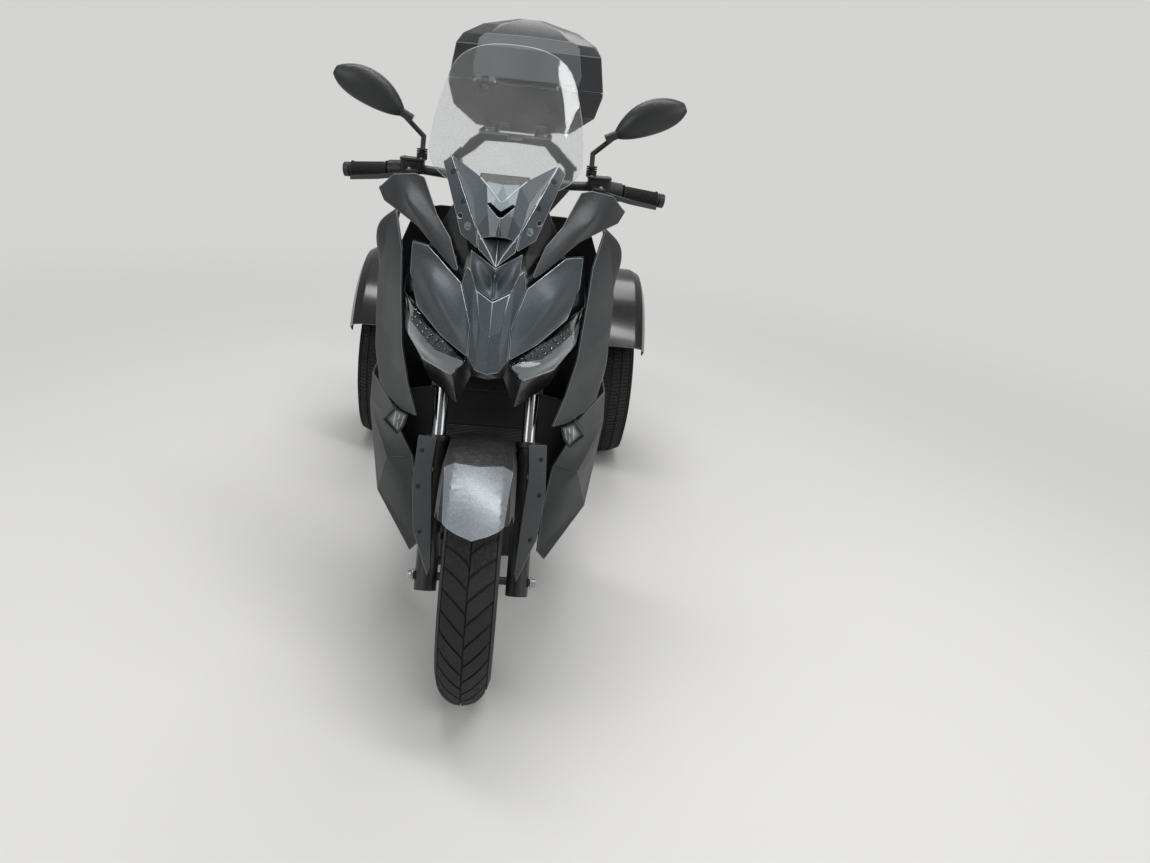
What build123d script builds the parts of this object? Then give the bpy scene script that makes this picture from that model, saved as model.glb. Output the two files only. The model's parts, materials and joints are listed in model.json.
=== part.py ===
from build123d import *
import math
import os

# Motorised trike: a maxi scooter with one steered front wheel and two driven rear wheels on a beam axle.
# Millimetres. +X is the trike's left side, -Y is forward and +Z is up. Every station (y) below is counted from
# the front axle. At the end all pieces move forward together, so that the origin lies on the ground under the
# middle of the overall length.

# Wheels
FRONT_TYRE_R = 274.0
FRONT_TYRE_W = 120.0
FRONT_BEAD_R = 190.5
REAR_TYRE_R = 286.0
REAR_TYRE_W = 155.0
REAR_BEAD_R = 165.1
WHEELBASE = 1540.0
REAR_TRACK = 808.0
AXLE_R = 9.0
DISC_R = 133.5
DISC_THICK = 4.5

# Steering
CASTER_DEG = 26.5
FORK_OFFSET = 37.0
FORK_SPREAD = 204.0
SLIDER_R = 25.0
STANCHION_R = 16.5
STEM_R = 16.0
BAR_R = 11.1

# Overall
GAP = 0.3
RUN_FIT = 0.05
SEAM = 1.6
PANEL_WALL = 4.0
CASE_BACK = 1985.0
CASE_X = 22.0
MID_STATION = (CASE_BACK - FRONT_TYRE_R) / 2

FRONT_AXLE_Z = FRONT_TYRE_R
REAR_AXLE_Z = REAR_TYRE_R


# Small helpers for outlines, prisms, lofts and rods


def face_of(points):
    """Flat face inside a closed run of points."""
    return make_face(Polyline(*points, close=True))


def front_prism(outline, y0, y1):
    """Outline of (x, z) points in the front view, carried from station y0 to y1."""
    return extrude(face_of([(x, y0, z) for x, z in outline]), amount=y1 - y0, dir=(0, 1, 0))


def side_prism(outline, x0, x1):
    """Outline of (y, z) points in the side view, carried from x0 to x1."""
    return extrude(face_of([(x0, y, z) for y, z in outline]), amount=x1 - x0, dir=(1, 0, 0))


def plan_prism(outline, z0, z1):
    """Outline of (x, y) points seen from above, carried from height z0 to z1."""
    return extrude(face_of([(x, y, z0) for x, y in outline]), amount=z1 - z0, dir=(0, 0, 1))


def flat_faces(corners):
    """One face where the corners share a plane, otherwise a fan of triangles."""
    if coplanar(corners):
        return [Face(Wire.make_polygon(corners, close=True))]
    first = corners[0]
    return [Face(Wire.make_polygon([first, a, b], close=True)) for a, b in zip(corners[1:], corners[2:])]


def coplanar(corners):
    first = corners[0]
    normal = Vector(0, 0, 0)
    for a, b in zip(corners[1:], corners[2:]):
        normal = normal + (a - first).cross(b - first)
    normal = normal.normalized()
    return all(abs((p - first).dot(normal)) < 1e-5 for p in corners)


def smooth_face(corners, inner):
    """Smooth face inside a run of corners, drawn through the inner points."""
    outline = Wire.make_polygon(corners, close=True)
    if coplanar(corners) and not inner:
        return Face(outline)
    return Face.make_surface(outline, inner)


def closed(faces):
    """Solid inside a closed set of faces, turned right side out."""
    solid = Solid(Shell(faces))
    return solid if solid.volume > 0 else Solid(solid.wrapped.Reversed())


def sheet(points, fields, shift):
    """Panel with one wall: each field, its copy moved by shift, and the rim round them all.

    A field is a run of corners and the inner points that its smooth face goes through. Fields meet in creases.
    """
    front = [Vector(*p) for p in points]
    skins = []
    rim = {}
    for corners, inner in fields:
        face = smooth_face([front[i] for i in corners], [front[i] for i in inner])
        skins += [face, face.moved(Location(shift))]
        for a, b in zip(corners, corners[1:] + corners[:1]):
            key = (min(a, b), max(a, b))
            rim[key] = rim.get(key, 0) + 1
    for (a, b), count in rim.items():
        if count == 1:
            far = Vector(*shift)
            skins += flat_faces([front[a], front[b], front[b] + far, front[a] + far])
    return closed(skins)


def facet_loft(*sections):
    """Solid through closed runs of points with flat facets between neighbours."""
    rings = [[Vector(*p) for p in section] for section in sections]
    skins = flat_faces(rings[0]) + flat_faces(rings[-1])
    for low, high in zip(rings, rings[1:]):
        for i in range(len(low)):
            skins += flat_faces([low[i - 1], low[i], high[i], high[i - 1]])
    return closed(skins)


def mirrored_mesh(points, fields):
    """Half a mesh of fields together with its mirror image, sharing the points on x = 0."""
    all_points = list(points)
    twin = {}
    for i, p in enumerate(points):
        if abs(p[0]) < 1e-6:
            twin[i] = i
        else:
            twin[i] = len(all_points)
            all_points.append((-p[0], p[1], p[2]))
    mirror_fields = []
    for corners, inner in fields:
        mirror_fields.append((tuple(twin[i] for i in (corners[0], *corners[:0:-1])), tuple(twin[i] for i in inner)))
    return all_points, list(fields) + mirror_fields


def front_window(points, margin, radius=0.0):
    """Prism through a panel's outline as the front view shows it, moved inwards for the seam."""
    outline = [(p[0], p[2]) for p in points]
    area = sum(a[0] * b[1] - b[0] * a[1] for a, b in zip(outline, outline[1:] + outline[:1]))
    if area < 0:
        outline = outline[::-1]
    prism = front_prism(inset(outline, margin), -400, 900)
    return fillet(prism.edges().filter_by(Axis.Y), radius) if radius else prism


def rod(start, end, radius):
    """Round bar between two points."""
    a, b = Vector(*start), Vector(*end)
    return Solid.make_cylinder(radius, (b - a).length, Plane(origin=a, z_dir=(b - a).normalized()))


def mirrored(shape):
    return shape.mirror(Plane.YZ)


def largest(shape, count=1):
    """The biggest solids of a cut piece, without its loose offcuts."""
    solids = sorted(shape.solids(), key=lambda solid: -solid.volume)[:count]
    return solids[0] if count == 1 else Compound(solids)


def both_sides(shape):
    """The piece and its mirror image, as solids that don't touch."""
    return Compound(list(shape.solids()) + list(mirrored(shape).solids()))


def across(points):
    """Half an outline in (x, ...) closed by its mirror image about x = 0."""
    return list(points) + [(-p[0], *p[1:]) for p in reversed(points) if abs(p[0]) > 1e-6]


def inset(points, amount):
    """Closed anticlockwise run of (x, y) points moved inwards by one distance along each edge's normal."""
    moved = []
    count = len(points)
    for i in range(count):
        before, here, after = points[i - 1], points[i], points[(i + 1) % count]
        e1 = (here[0] - before[0], here[1] - before[1])
        e2 = (after[0] - here[0], after[1] - here[1])
        l1, l2 = math.hypot(*e1), math.hypot(*e2)
        n1 = (-e1[1] / l1, e1[0] / l1)
        n2 = (-e2[1] / l2, e2[0] / l2)
        scale = amount / (1 + n1[0] * n2[0] + n1[1] * n2[1])
        moved.append((here[0] + (n1[0] + n2[0]) * scale, here[1] + (n1[1] + n2[1]) * scale))
    return moved


def ribbon(points, wall):
    """Open run of (x, y) points given a wall to its left side, as one closed run."""
    count = len(points)
    inner = []
    for i, here in enumerate(points):
        before = points[i - 1] if i else None
        after = points[i + 1] if i < count - 1 else None
        normals = []
        for a, b in ((before, here), (here, after)):
            if a is not None and b is not None:
                length = math.hypot(b[0] - a[0], b[1] - a[1])
                normals.append((-(b[1] - a[1]) / length, (b[0] - a[0]) / length))
        if len(normals) == 1:
            inner.append((here[0] + normals[0][0] * wall, here[1] + normals[0][1] * wall))
        else:
            (ax, ay), (bx, by) = normals
            scale = wall / (1 + ax * bx + ay * by)
            inner.append((here[0] + (ax + bx) * scale, here[1] + (ay + by) * scale))
    return list(points) + inner[::-1]


# Wheels. Each is made about the X axis through its own centre.

FRONT_BEAD_HALF = 44.0
FRONT_HUB_HALF = 48.0
REAR_BEAD_HALF = 62.0
STUB_R = 14.0
DISC_X = -FRONT_HUB_HALF - 8.0
REAR_DISC_R = 118.0
REAR_DISC_THICK = 8.0
REAR_DISC_X = -22.0


def tyre(outer_r, width, bead_r, bead_half, crown_drop, wall):
    """Tyre casing: crown and sidewalls as arcs, hollow inside."""

    def section(r_out, half, r_in, half_in):
        shoulder = r_out - crown_drop
        belly = r_in + (shoulder - r_in) * 0.62
        with BuildSketch(Plane.XY) as sk:
            with BuildLine():
                crown = ThreePointArc((-half * 0.93, shoulder), (0, r_out), (half * 0.93, shoulder))
                ThreePointArc(crown @ 1, (half, belly), (half_in, r_in))
                Line((half_in, r_in), (-half_in, r_in))
                ThreePointArc((-half_in, r_in), (-half, belly), crown @ 0)
            make_face()
        return sk.sketch

    ring = section(outer_r, width / 2, bead_r, bead_half)
    hollow = section(outer_r - wall, width / 2 - wall * 0.6, bead_r - 1, bead_half - wall * 0.7)
    return revolve(ring - hollow, Axis.X, 360)


def rim_barrel(bead_r, bead_half, depth, wall):
    """Rim: flanges, bead seats and well as one turned section."""
    seat = bead_r - GAP
    well = bead_r - depth
    outer = [
        (bead_half + 7, bead_r + 9),
        (bead_half + GAP, bead_r + 9),
        (bead_half + GAP, seat),
        (bead_half * 0.55, seat - 2),
        (bead_half * 0.35, well),
    ]
    inner = [
        (bead_half * 0.35 + wall, well - wall),
        (bead_half * 0.55 + wall, seat - 2 - wall),
        (bead_half + 7, seat - wall),
    ]
    ring = outer + [(-x, r) for x, r in reversed(outer)]
    ring += [(-x, r) for x, r in reversed(inner)] + inner
    return revolve(make_face(Polyline(*ring, close=True)), Axis.X, 360)


def axial(radius, x0, x1):
    """Cylinder about the X axis from x0 to x1."""
    return Solid.make_cylinder(radius, x1 - x0, Plane(origin=(x0, 0, 0), z_dir=(1, 0, 0)))


def spokes(foot_r, tip_r, count, splay_deg, width, half_thick, face_x):
    """Pairs of tapered spokes that spread from each foot towards the rim."""
    arms = []
    splay = math.radians(splay_deg)
    for k in range(count):
        for side in (-1, 1):
            tip_y = side * tip_r * math.sin(splay)
            tip_z = tip_r * math.cos(splay)
            ends = []
            for y, z, half in ((0, foot_r, width * 0.7), (tip_y, tip_z, width * 0.45)):
                ends.append(
                    [
                        (face_x - half_thick, y - half, z),
                        (face_x + half_thick, y - half * 0.7, z),
                        (face_x + half_thick, y + half * 0.7, z),
                        (face_x - half_thick, y + half, z),
                    ]
                )
            arms.append(facet_loft(*ends).rotate(Axis.X, 360 / count * k))
    return arms


def brake_disc(radius, band, thick, arm_count, hub_r, bore_r):
    """Disc with an open ring of arms between its braking band and its hub."""
    disc = axial(radius, -thick / 2, thick / 2) - axial(radius - band, -thick, thick)
    arms = []
    for k in range(arm_count):
        arm = Box(thick, 18, radius - band - hub_r + 12).locate(Location((0, 0, (radius - band + hub_r) / 2)))
        arms.append(arm.rotate(Axis.X, 360 / arm_count * k))
    return (disc + axial(hub_r, -thick / 2, thick / 2) + arms) - axial(bore_r, -thick, thick)


FRONT_CENTRE = Location((0, 0, FRONT_AXLE_Z))


def front_wheel():
    casing = tyre(FRONT_TYRE_R, FRONT_TYRE_W, FRONT_BEAD_R, FRONT_BEAD_HALF, 44, 9)
    bore = AXLE_R + RUN_FIT
    rim = rim_barrel(FRONT_BEAD_R, FRONT_BEAD_HALF, 20, 6) + axial(34, -FRONT_HUB_HALF, FRONT_HUB_HALF)
    rim = rim + spokes(26, FRONT_BEAD_R - 21, 5, 17, 17, 9, 0)
    rim = rim - axial(bore, -200, 200)
    disc = brake_disc(DISC_R, 36, DISC_THICK, 5, 38, bore).moved(Location((DISC_X, 0, 0)))
    disc = disc + (axial(30, DISC_X, -FRONT_HUB_HALF) - axial(bore, -200, 200))
    return {
        "front_tyre": largest(casing - rim).moved(FRONT_CENTRE),
        "front_rim": rim.moved(FRONT_CENTRE),
        "front_disc": disc.moved(FRONT_CENTRE),
    }


def rear_wheels():
    parts = {}
    casing = tyre(REAR_TYRE_R, REAR_TYRE_W, REAR_BEAD_R, REAR_BEAD_HALF, 20, 10)
    rim = rim_barrel(REAR_BEAD_R, REAR_BEAD_HALF, 20, 6) + spokes(48, REAR_BEAD_R - 21, 5, 9, 30, 8, 24)
    rim = rim + axial(60, 12, 34) + axial(28, 34, 44) - axial(STUB_R + RUN_FIT, -60, 36)
    bore = STUB_R + RUN_FIT
    disc = brake_disc(REAR_DISC_R, 32, REAR_DISC_THICK, 5, 46, bore).moved(Location((REAR_DISC_X, 0, 0)))
    disc = disc + (axial(34, REAR_DISC_X, 12) - axial(bore, -60, 36))
    casing = largest(casing - rim)
    for name, side in (("left", 1), ("right", -1)):
        centre = Location((side * REAR_TRACK / 2, WHEELBASE, REAR_AXLE_Z))
        for piece, shape in (("tyre", casing), ("rim", rim), ("disc", disc)):
            shape = mirrored(shape) if side < 0 else shape
            parts[f"rear_{piece}_{name}"] = shape.moved(centre)
    return parts


# Steering. Its pieces are made in the steering frame: z runs up the steering axis, y backwards and square to it.
# The frame's origin lies on the axis, level with the front axle.

CASTER = math.radians(CASTER_DEG)
STEER_UP = Vector(0, math.sin(CASTER), math.cos(CASTER))
STEER_BACK = Vector(0, math.cos(CASTER), -math.sin(CASTER))
STEER_FOOT = Vector(0, 0, FRONT_AXLE_Z) + STEER_BACK * FORK_OFFSET
STEER_FRAME = Plane(origin=STEER_FOOT, x_dir=(1, 0, 0), z_dir=STEER_UP)

LEG_X = FORK_SPREAD / 2
LEG_Y = -FORK_OFFSET
SLIDER_TOP = 300.0
CLAMP_LOW = 425.0
CLAMP_HIGH = 460.0
HEAD_LOW = 466.0
HEAD_HIGH = 640.0
HEAD_R = 27.0
BAR_CLAMP = 880.0


def steer(shape):
    """From the steering frame to the trike's."""
    return shape.moved(STEER_FRAME.location)


def fork():
    pieces = []
    for s in (-1, 1):
        x = s * LEG_X
        pieces.append(rod((x, LEG_Y, -32), (x, LEG_Y, SLIDER_TOP), SLIDER_R))
        pieces.append(rod((x, LEG_Y, SLIDER_TOP), (x, LEG_Y, SLIDER_TOP + 14), SLIDER_R + 3))
        pieces.append(rod((x, LEG_Y, SLIDER_TOP), (x, LEG_Y, CLAMP_HIGH + 6), STANCHION_R))
    bridge = across([
        (0, 30), (36, 30), (LEG_X + 24, LEG_Y + 18),
        (LEG_X + 24, LEG_Y - 22), (LEG_X - 26, LEG_Y - 28), (0, -26),
    ])
    pieces.append(plan_prism(bridge, CLAMP_LOW, CLAMP_HIGH))
    pieces.append(rod((0, 0, CLAMP_LOW), (0, 0, BAR_CLAMP), STEM_R))
    pieces.append(rod((-LEG_X - 28, LEG_Y, 0), (LEG_X + 28, LEG_Y, 0), AXLE_R))
    # Caliper astride the disc, behind the right leg, on two lugs
    caliper_y = LEG_Y + 114
    shell = Box(44, 56, 84).locate(Location((DISC_X - 4, caliper_y, 62)))
    slot = Box(DISC_THICK + 4, 70, 140).locate(Location((DISC_X, caliper_y - 12, 62)))
    pieces.append(shell - slot)
    for z in (34, 88):
        pieces.append(rod((-LEG_X, LEG_Y + 12, z), (DISC_X - 16, caliper_y - 16, z), 8))
    return steer(Part() + pieces)


def fork_cover():
    """Left one of the two long painted guards in front of the fork legs, on two studs."""
    front = LEG_Y - SLIDER_R - 12
    outline = [(103, 306), (141, 310), (146, 200), (134, 92), (98, 2), (93, 20), (101, 146), (108, 236)]
    flank = [(137, 308), (143, 308), (148, 200), (136, 92), (131, 92), (142, 200)]
    cover = extrude(face_of([(x, front, z) for x, z in outline]), amount=4, dir=(0, 1, 0))
    cover = cover + extrude(face_of([(x, front, z) for x, z in flank]), amount=32, dir=(0, 1, 0))
    for x, z in ((132, 276), (134, 196), (122, 96)):
        cover = cover - rod((x, front - 5, z), (x, front + 8, z), 5)
    for z in (110, 236):
        cover = cover + rod((LEG_X + 8, front + 2, z), (LEG_X + 8, LEG_Y, z), 7)
    cover = cover - rod((LEG_X, LEG_Y, -40), (LEG_X, LEG_Y, SLIDER_TOP), SLIDER_R)
    return cover - rod((LEG_X, LEG_Y, SLIDER_TOP), (LEG_X, LEG_Y, SLIDER_TOP + 14), SLIDER_R + 3)


FENDER_IN = FRONT_TYRE_R + 28
FENDER_CROWN = FENDER_IN + 20


def fender_point(angle_deg):
    """Station and height on the fender's crown, at an angle above the axle's level."""
    angle = math.radians(angle_deg)
    return -FENDER_CROWN * math.cos(angle), FRONT_AXLE_Z + FENDER_CROWN * math.sin(angle)


def front_fender():
    """Silver crown and the black guard that it is set into, which wraps the tyre and hangs on the fork legs."""
    wall = PANEL_WALL
    crown = FENDER_CROWN
    outer = [(0, crown + 6), (50, crown), (70, crown - 14), (80, FENDER_IN - 34)]
    inner = [(80 - wall, FENDER_IN - 34), (66, crown - 16), (48, crown - wall), (0, crown + 6 - wall)]
    half = make_face(Polyline(*[(x, 0, r) for x, r in outer + inner], close=True))
    arc = revolve(half.rotate(Axis.X, 48), Axis.X, -94)
    guard = (arc + mirrored(arc)).moved(FRONT_CENTRE)
    lip = fender_point(48)[1]
    below = across([(0, lip - 16), (30, lip - 10), (60, lip), (200, lip), (200, 300), (0, 300)])
    guard = guard - front_prism(below, -400, -150)
    front, back, notch = -crown - 20, fender_point(77.5)[0], fender_point(73.5)[0]
    top = across([(0, front), (57, front), (60, fender_point(50)[0]), (71, back), (0, notch)])
    crown_room = plan_prism(top, FRONT_AXLE_Z, FRONT_AXLE_Z + crown + 30)
    crown_gap = plan_prism(inset(top, -SEAM / 2), FRONT_AXLE_Z, FRONT_AXLE_Z + crown + 30)
    silver = largest(guard & crown_room)
    black = guard - crown_gap
    for s in (-1, 1):
        black = black + steer(Box(34, 18, 50).locate(Location((s * 88, LEG_Y + 4, 250))))
        black = black + steer(rod((s * 58, LEG_Y + 4, 250), (s * 40, LEG_Y + 4, 250), 6))
    for s in (-1, 1):
        black = black - steer(rod((s * LEG_X, LEG_Y, -40), (s * LEG_X, LEG_Y, SLIDER_TOP + 20), SLIDER_R))
    return silver, largest(black - tyre_room() - silver)


def tyre_room():
    """Space round the front tyre that its guard keeps clear."""
    return axial(FRONT_TYRE_R + 12, -FRONT_TYRE_W / 2 - 8, FRONT_TYRE_W / 2 + 8).moved(FRONT_CENTRE)


# The bar and what it carries are given from its root on top of the steering stem: points of the bar's left half
BAR_ROOT = STEER_FOOT + STEER_UP * (BAR_CLAMP + 20)
BAR_RUN = [(0, 22, 0), (62, 24, 2), (120, 30, 30), (200, 38, 34), (386, 64, 14)]
GRIP_FROM = 0.44


def at_bar(x, y, z):
    """Point given from the bar's root."""
    return (x, BAR_ROOT.Y + y, BAR_ROOT.Z + z)


def bar_point(share):
    """Point on the bar's last straight, by its share of that length."""
    a, b = Vector(*at_bar(*BAR_RUN[-2])), Vector(*at_bar(*BAR_RUN[-1]))
    return a + (b - a) * share


def bar_box(length, width, height, x, y, z):
    return Box(length, width, height).locate(Location(at_bar(x, y, z)))


def handlebar():
    left = [at_bar(*p) for p in BAR_RUN]
    path = Polyline(*[(-x, y, z) for x, y, z in left[:0:-1]], *left)
    bar = sweep(Plane(origin=path @ 0, z_dir=path % 0) * Circle(BAR_R), path=path, transition=Transition.RIGHT)
    riser = steer(rod((0, 0, BAR_CLAMP - 40), (0, 0, BAR_CLAMP + 22), 26))
    bar = bar + riser + bar_box(90, 70, 34, 0, 11, 0)
    return bar - steer(rod((0, 0, CLAMP_LOW), (0, 0, BAR_CLAMP), STEM_R))


def bar_core():
    """Left straight of the bar, which everything on it is bored for."""
    return rod(bar_point(0), bar_point(1), BAR_R)


def grip():
    """Left grip, with the wider end weight on the end of the bar."""
    sleeve = rod(bar_point(GRIP_FROM), bar_point(0.9), 17)
    for share in (GRIP_FROM, 0.88):
        sleeve = sleeve + rod(bar_point(share), bar_point(share + 0.02), 20)
    return sleeve + rod(bar_point(0.9), bar_point(0.93), 14) + rod(bar_point(0.93), bar_point(1), 17) - bar_core()


def switchgear():
    """Left switch housing with the brake lever and its reservoir."""
    housing = rod(bar_point(0.06), bar_point(GRIP_FROM - 0.02), 22)
    tank = bar_box(54, 40, 28, 222, 36, 40) + bar_box(58, 44, 6, 222, 36, 57)
    tank = fillet(tank.edges().filter_by(Axis.Z), 7)
    blade = []
    # Lever: distance out, station, height, width, depth
    lever_rows = ((220, 5, 18, 16, 12), (246, -4, 16, 15, 12), (300, 0, 6, 11, 11), (366, 22, -4, 11, 10))
    for x, y, z, wide, deep in lever_rows:
        blade.append([at_bar(x, y + i * wide, z + j * deep) for i, j in ((0, 0), (1, 0), (1, 1), (0, 1))])
    perch = bar_box(30, 42, 22, 222, 12, 24)
    return (housing + tank + facet_loft(*blade) + perch) - bar_core()


MIRROR_ROOT = at_bar(202, 42, 56)
MIRROR_KINK = at_bar(202, 62, 108)
# Left mirror's housing, from its root to its tip: distance out, height, half depth, half height
MIRROR_RINGS = [(250, 158, 8, 9), (278, 178, 19, 28), (324, 204, 24, 39), (368, 222, 20, 34), (406, 236, 7, 10)]
MIRROR_Y = 36.0


def mirror():
    """Left mirror: bent stem and a housing like a drop, cut flat for its glass."""
    first, last = MIRROR_RINGS[0], MIRROR_RINGS[-1]
    way = Vector(last[0] - first[0], 0, last[1] - first[1]).normalized()
    rings = []
    for x, z, deep, high in MIRROR_RINGS:
        plane = Plane(origin=at_bar(x, MIRROR_Y, z), x_dir=(0, 1, 0), z_dir=way)
        rings.append(plane * Ellipse(deep, high))
    head = loft(rings)
    head = head - Box(400, 60, 200).locate(Location(at_bar(320, MIRROR_Y + 14 + 30, 204)))
    arm = Vector(*at_bar(first[0], MIRROR_Y, first[1]))
    stem = rod(MIRROR_ROOT, MIRROR_KINK, 6) + Sphere(6).locate(Location(MIRROR_KINK))
    stem = stem + rod(MIRROR_KINK, arm + way * 6, 6) + rod(arm - way * 26, arm + way * 2, 10)
    return stem + rod(MIRROR_ROOT, Vector(*MIRROR_ROOT) + Vector(0, 0, 14), 12) + head


# Front body panels. Each is a table of (x, y, z) corners of its left half, outline first, then the points that its
# smooth fields go through. A field is its corners and those inner points.

NOSE = [
    (0, 35, 900),
    (34, 60, 915),
    (50, 88, 950),
    (60, 100, 956),
    (68, 90, 921),
    (41, 20, 849),
    (42, 0, 788),
    (24, -22, 768),
    (0, -30, 764),
    (0, -6, 838),
    (20, 2, 846),
]
NOSE_FIELDS = [((0, 1, 10, 9), ()), ((1, 2, 3, 4, 5, 6, 7, 10), ()), ((10, 7, 8, 9), ())]

BROW = [
    (0, 80, 960),
    (54, 104, 990),
    (52, 90, 952),
    (36, 62, 916),
    (0, 37, 901),
    (0, 52, 930),
    (28, 64, 944),
]
BROW_FIELDS = [((0, 1, 2, 3, 4, 5), (6,))]

CHEEK = [
    (68, 90, 921),
    (147, 158, 979),
    (188, 220, 973),
    (184, 170, 915),
    (159, 100, 859),
    (100, 44, 815),
    (42, 0, 788),
    (41, 20, 849),
    (118, 92, 922),
    (90, 42, 856),
]
CHEEK_FIELDS = [((0, 1, 2, 3, 4, 5, 6, 7), (8, 9))]

LAMP = [
    (43, 0, 779),
    (119, 80, 820),
    (165, 130, 848),
    (199, 190, 872),
    (206, 250, 853),
    (186, 154, 790),
    (140, 74, 752),
    (74, 14, 741),
    (112, 48, 783),
    (172, 122, 820),
]
LAMP_FIELDS = [((0, 1, 2, 9, 8), ()), ((2, 3, 4, 9), ()), ((0, 8, 9, 5, 6, 7), ()), ((9, 4, 5), ())]

V_PANEL = [
    (0, 236, 1110),
    (36, 240, 1113),
    (115, 262, 1159),
    (46, 106, 1034),
    (39, 92, 993),
    (0, 80, 960),
    (12, 86, 984),
    (26, 158, 1056),
    (0, 162, 1050),
    (58, 172, 1082),
]
V_FACETS = [
    (0, 1, 7), (0, 7, 8), (8, 7, 6), (8, 6, 5), (1, 2, 9), (2, 3, 9),
    (9, 3, 7), (1, 9, 7), (7, 3, 6), (3, 4, 6), (4, 5, 6),
]
V_FIELDS = [(facet, ()) for facet in V_FACETS]

STRIP = [
    (39, 90, 993),
    (46, 104, 1034),
    (115, 258, 1159),
    (133, 250, 1144),
    (79, 130, 1014),
]
STRIP_FIELDS = [((0, 1, 2, 3, 4), ())]

WING = [
    (71, 88, 933),
    (109, 130, 957),
    (175, 202, 1008),
    (264, 308, 1040),
    (279, 322, 1066),
    (246, 316, 1100),
    (194, 268, 1112),
    (169, 240, 1109),
    (133, 190, 1039),
    (99, 150, 1000),
    (168, 194, 1048),
    (232, 286, 1074),
]
WING_FIELDS = [((0, 1, 2, 3, 4, 5, 6, 7, 8, 9), (10, 11))]

BLADE = [
    (214, 250, 945),
    (205, 196, 862),
    (195, 158, 757),
    (175, 122, 682),
    (152, 97, 616),
    (190, 152, 608),
    (231, 215, 617),
    (258, 280, 624),
    (276, 338, 690),
    (281, 352, 764),
    (279, 355, 858),
    (258, 338, 985),
    (238, 322, 1018),
    (284, 420, 640),
    (283, 440, 764),
    (273, 440, 858),
    (238, 400, 1026),
]
BLADE_FIELDS = [
    ((0, 11, 12), ()),
    ((0, 1, 10, 11), ()),
    ((1, 2, 9, 10), ()),
    ((2, 3, 8, 9), ()),
    ((3, 6, 7, 8), ()),
    ((3, 4, 5, 6), ()),
    ((7, 13, 14, 9, 8), ()),
    ((9, 14, 15, 10), ()),
    ((10, 15, 16, 12, 11), ()),
]

SHIELD = [
    (210, 178, 602),
    (198, 190, 546),
    (169, 232, 460),
    (158, 288, 325),
    (157, 335, 172),
    (178, 352, 140),
    (215, 480, 140),
    (268, 540, 300),
    (284, 520, 540),
    (284, 440, 634),
    (285, 350, 622),
    (291, 360, 540),
    (272, 400, 284),
    (232, 262, 440),
]
SHIELD_FIELDS = [
    ((0, 1, 11, 10), ()),
    ((1, 2, 13, 11), ()),
    ((2, 3, 13), ()),
    ((3, 4, 12, 13), ()),
    ((4, 5, 12), ()),
    ((13, 12, 11), ()),
    ((10, 11, 8, 9), ()),
    ((11, 12, 7, 8), ()),
    ((12, 5, 6, 7), ()),
]

SIDE_COWL = [
    (112, 610, 640),
    (150, 790, 702),
    (172, 1100, 765),
    (152, 1450, 850),
    (60, 1640, 905),
    (66, 1650, 870),
    (60, 1640, 830),
    (170, 1420, 680),
    (195, 1150, 545),
    (190, 860, 430),
    (170, 600, 430),
    (175, 600, 560),
    (205, 850, 600),
    (212, 1120, 675),
    (195, 1430, 770),
]
SIDE_FIELDS = [
    ((0, 1, 12, 11), ()),
    ((1, 2, 13, 12), ()),
    ((2, 3, 14, 13), ()),
    ((3, 4, 5, 14), ()),
    ((11, 12, 9, 10), ()),
    ((12, 13, 8, 9), ()),
    ((13, 14, 7, 8), ()),
    ((14, 5, 6, 7), ()),
]

# Black inner skin that the front panels close over
INNER = [
    (0, -8, 758),
    (0, 52, 900),
    (0, 108, 962),
    (60, 122, 985),
    (70, 112, 921),
    (41, 42, 849),
    (44, 22, 786),
    (116, 102, 818),
    (147, 184, 975),
    (190, 250, 970),
    (199, 216, 862),
    (208, 280, 850),
    (137, 88, 764),
    (74, 36, 740),
    (62, 56, 669),
    (34, 50, 735),
    (0, 8, 742),
    (132, 150, 690),
    (196, 250, 760),
    (0, 222, 1062),
    (96, 236, 1076),
]
INNER_FIELDS = [
    ((2, 3, 20, 19), ()),
    ((3, 8, 20), ()),
    ((0, 6, 5), ()),
    ((0, 5, 1), ()),
    ((1, 5, 4), ()),
    ((1, 4, 3, 2), ()),
    ((4, 8, 3), ()),
    ((4, 7, 10, 8), ()),
    ((4, 5, 7), ()),
    ((5, 6, 7), ()),
    ((8, 10, 9), ()),
    ((9, 10, 11), ()),
    ((10, 7, 12, 11), ()),
    ((7, 6, 13, 12), ()),
    ((6, 0, 16, 15), ()),
    ((6, 15, 14, 13), ()),
    ((12, 13, 14, 17), ()),
    ((12, 17, 18, 11), ()),
]
DASH = [
    (0, 478, 590),
    (130, 478, 590),
    (262, 470, 600),
    (266, 452, 860),
    (206, 436, 1012),
    (150, 452, 1022),
    (0, 456, 1022),
    (0, 492, 800),
    (170, 486, 800),
    (122, 478, 326),
    (258, 478, 326),
]
DASH_FIELDS = [((0, 1, 8, 7), ()), ((1, 2, 3, 8), ()), ((3, 4, 5, 8), ()), ((8, 5, 6, 7), ()), ((1, 9, 10, 2), ())]


def half_outline(points, edge_count):
    """Outline of a panel that spans the middle: its left edge, then the mirror image."""
    left = list(points[:edge_count])
    return left + [(-x, y, z) for x, y, z in reversed(left) if abs(x) > 1e-6]


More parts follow.
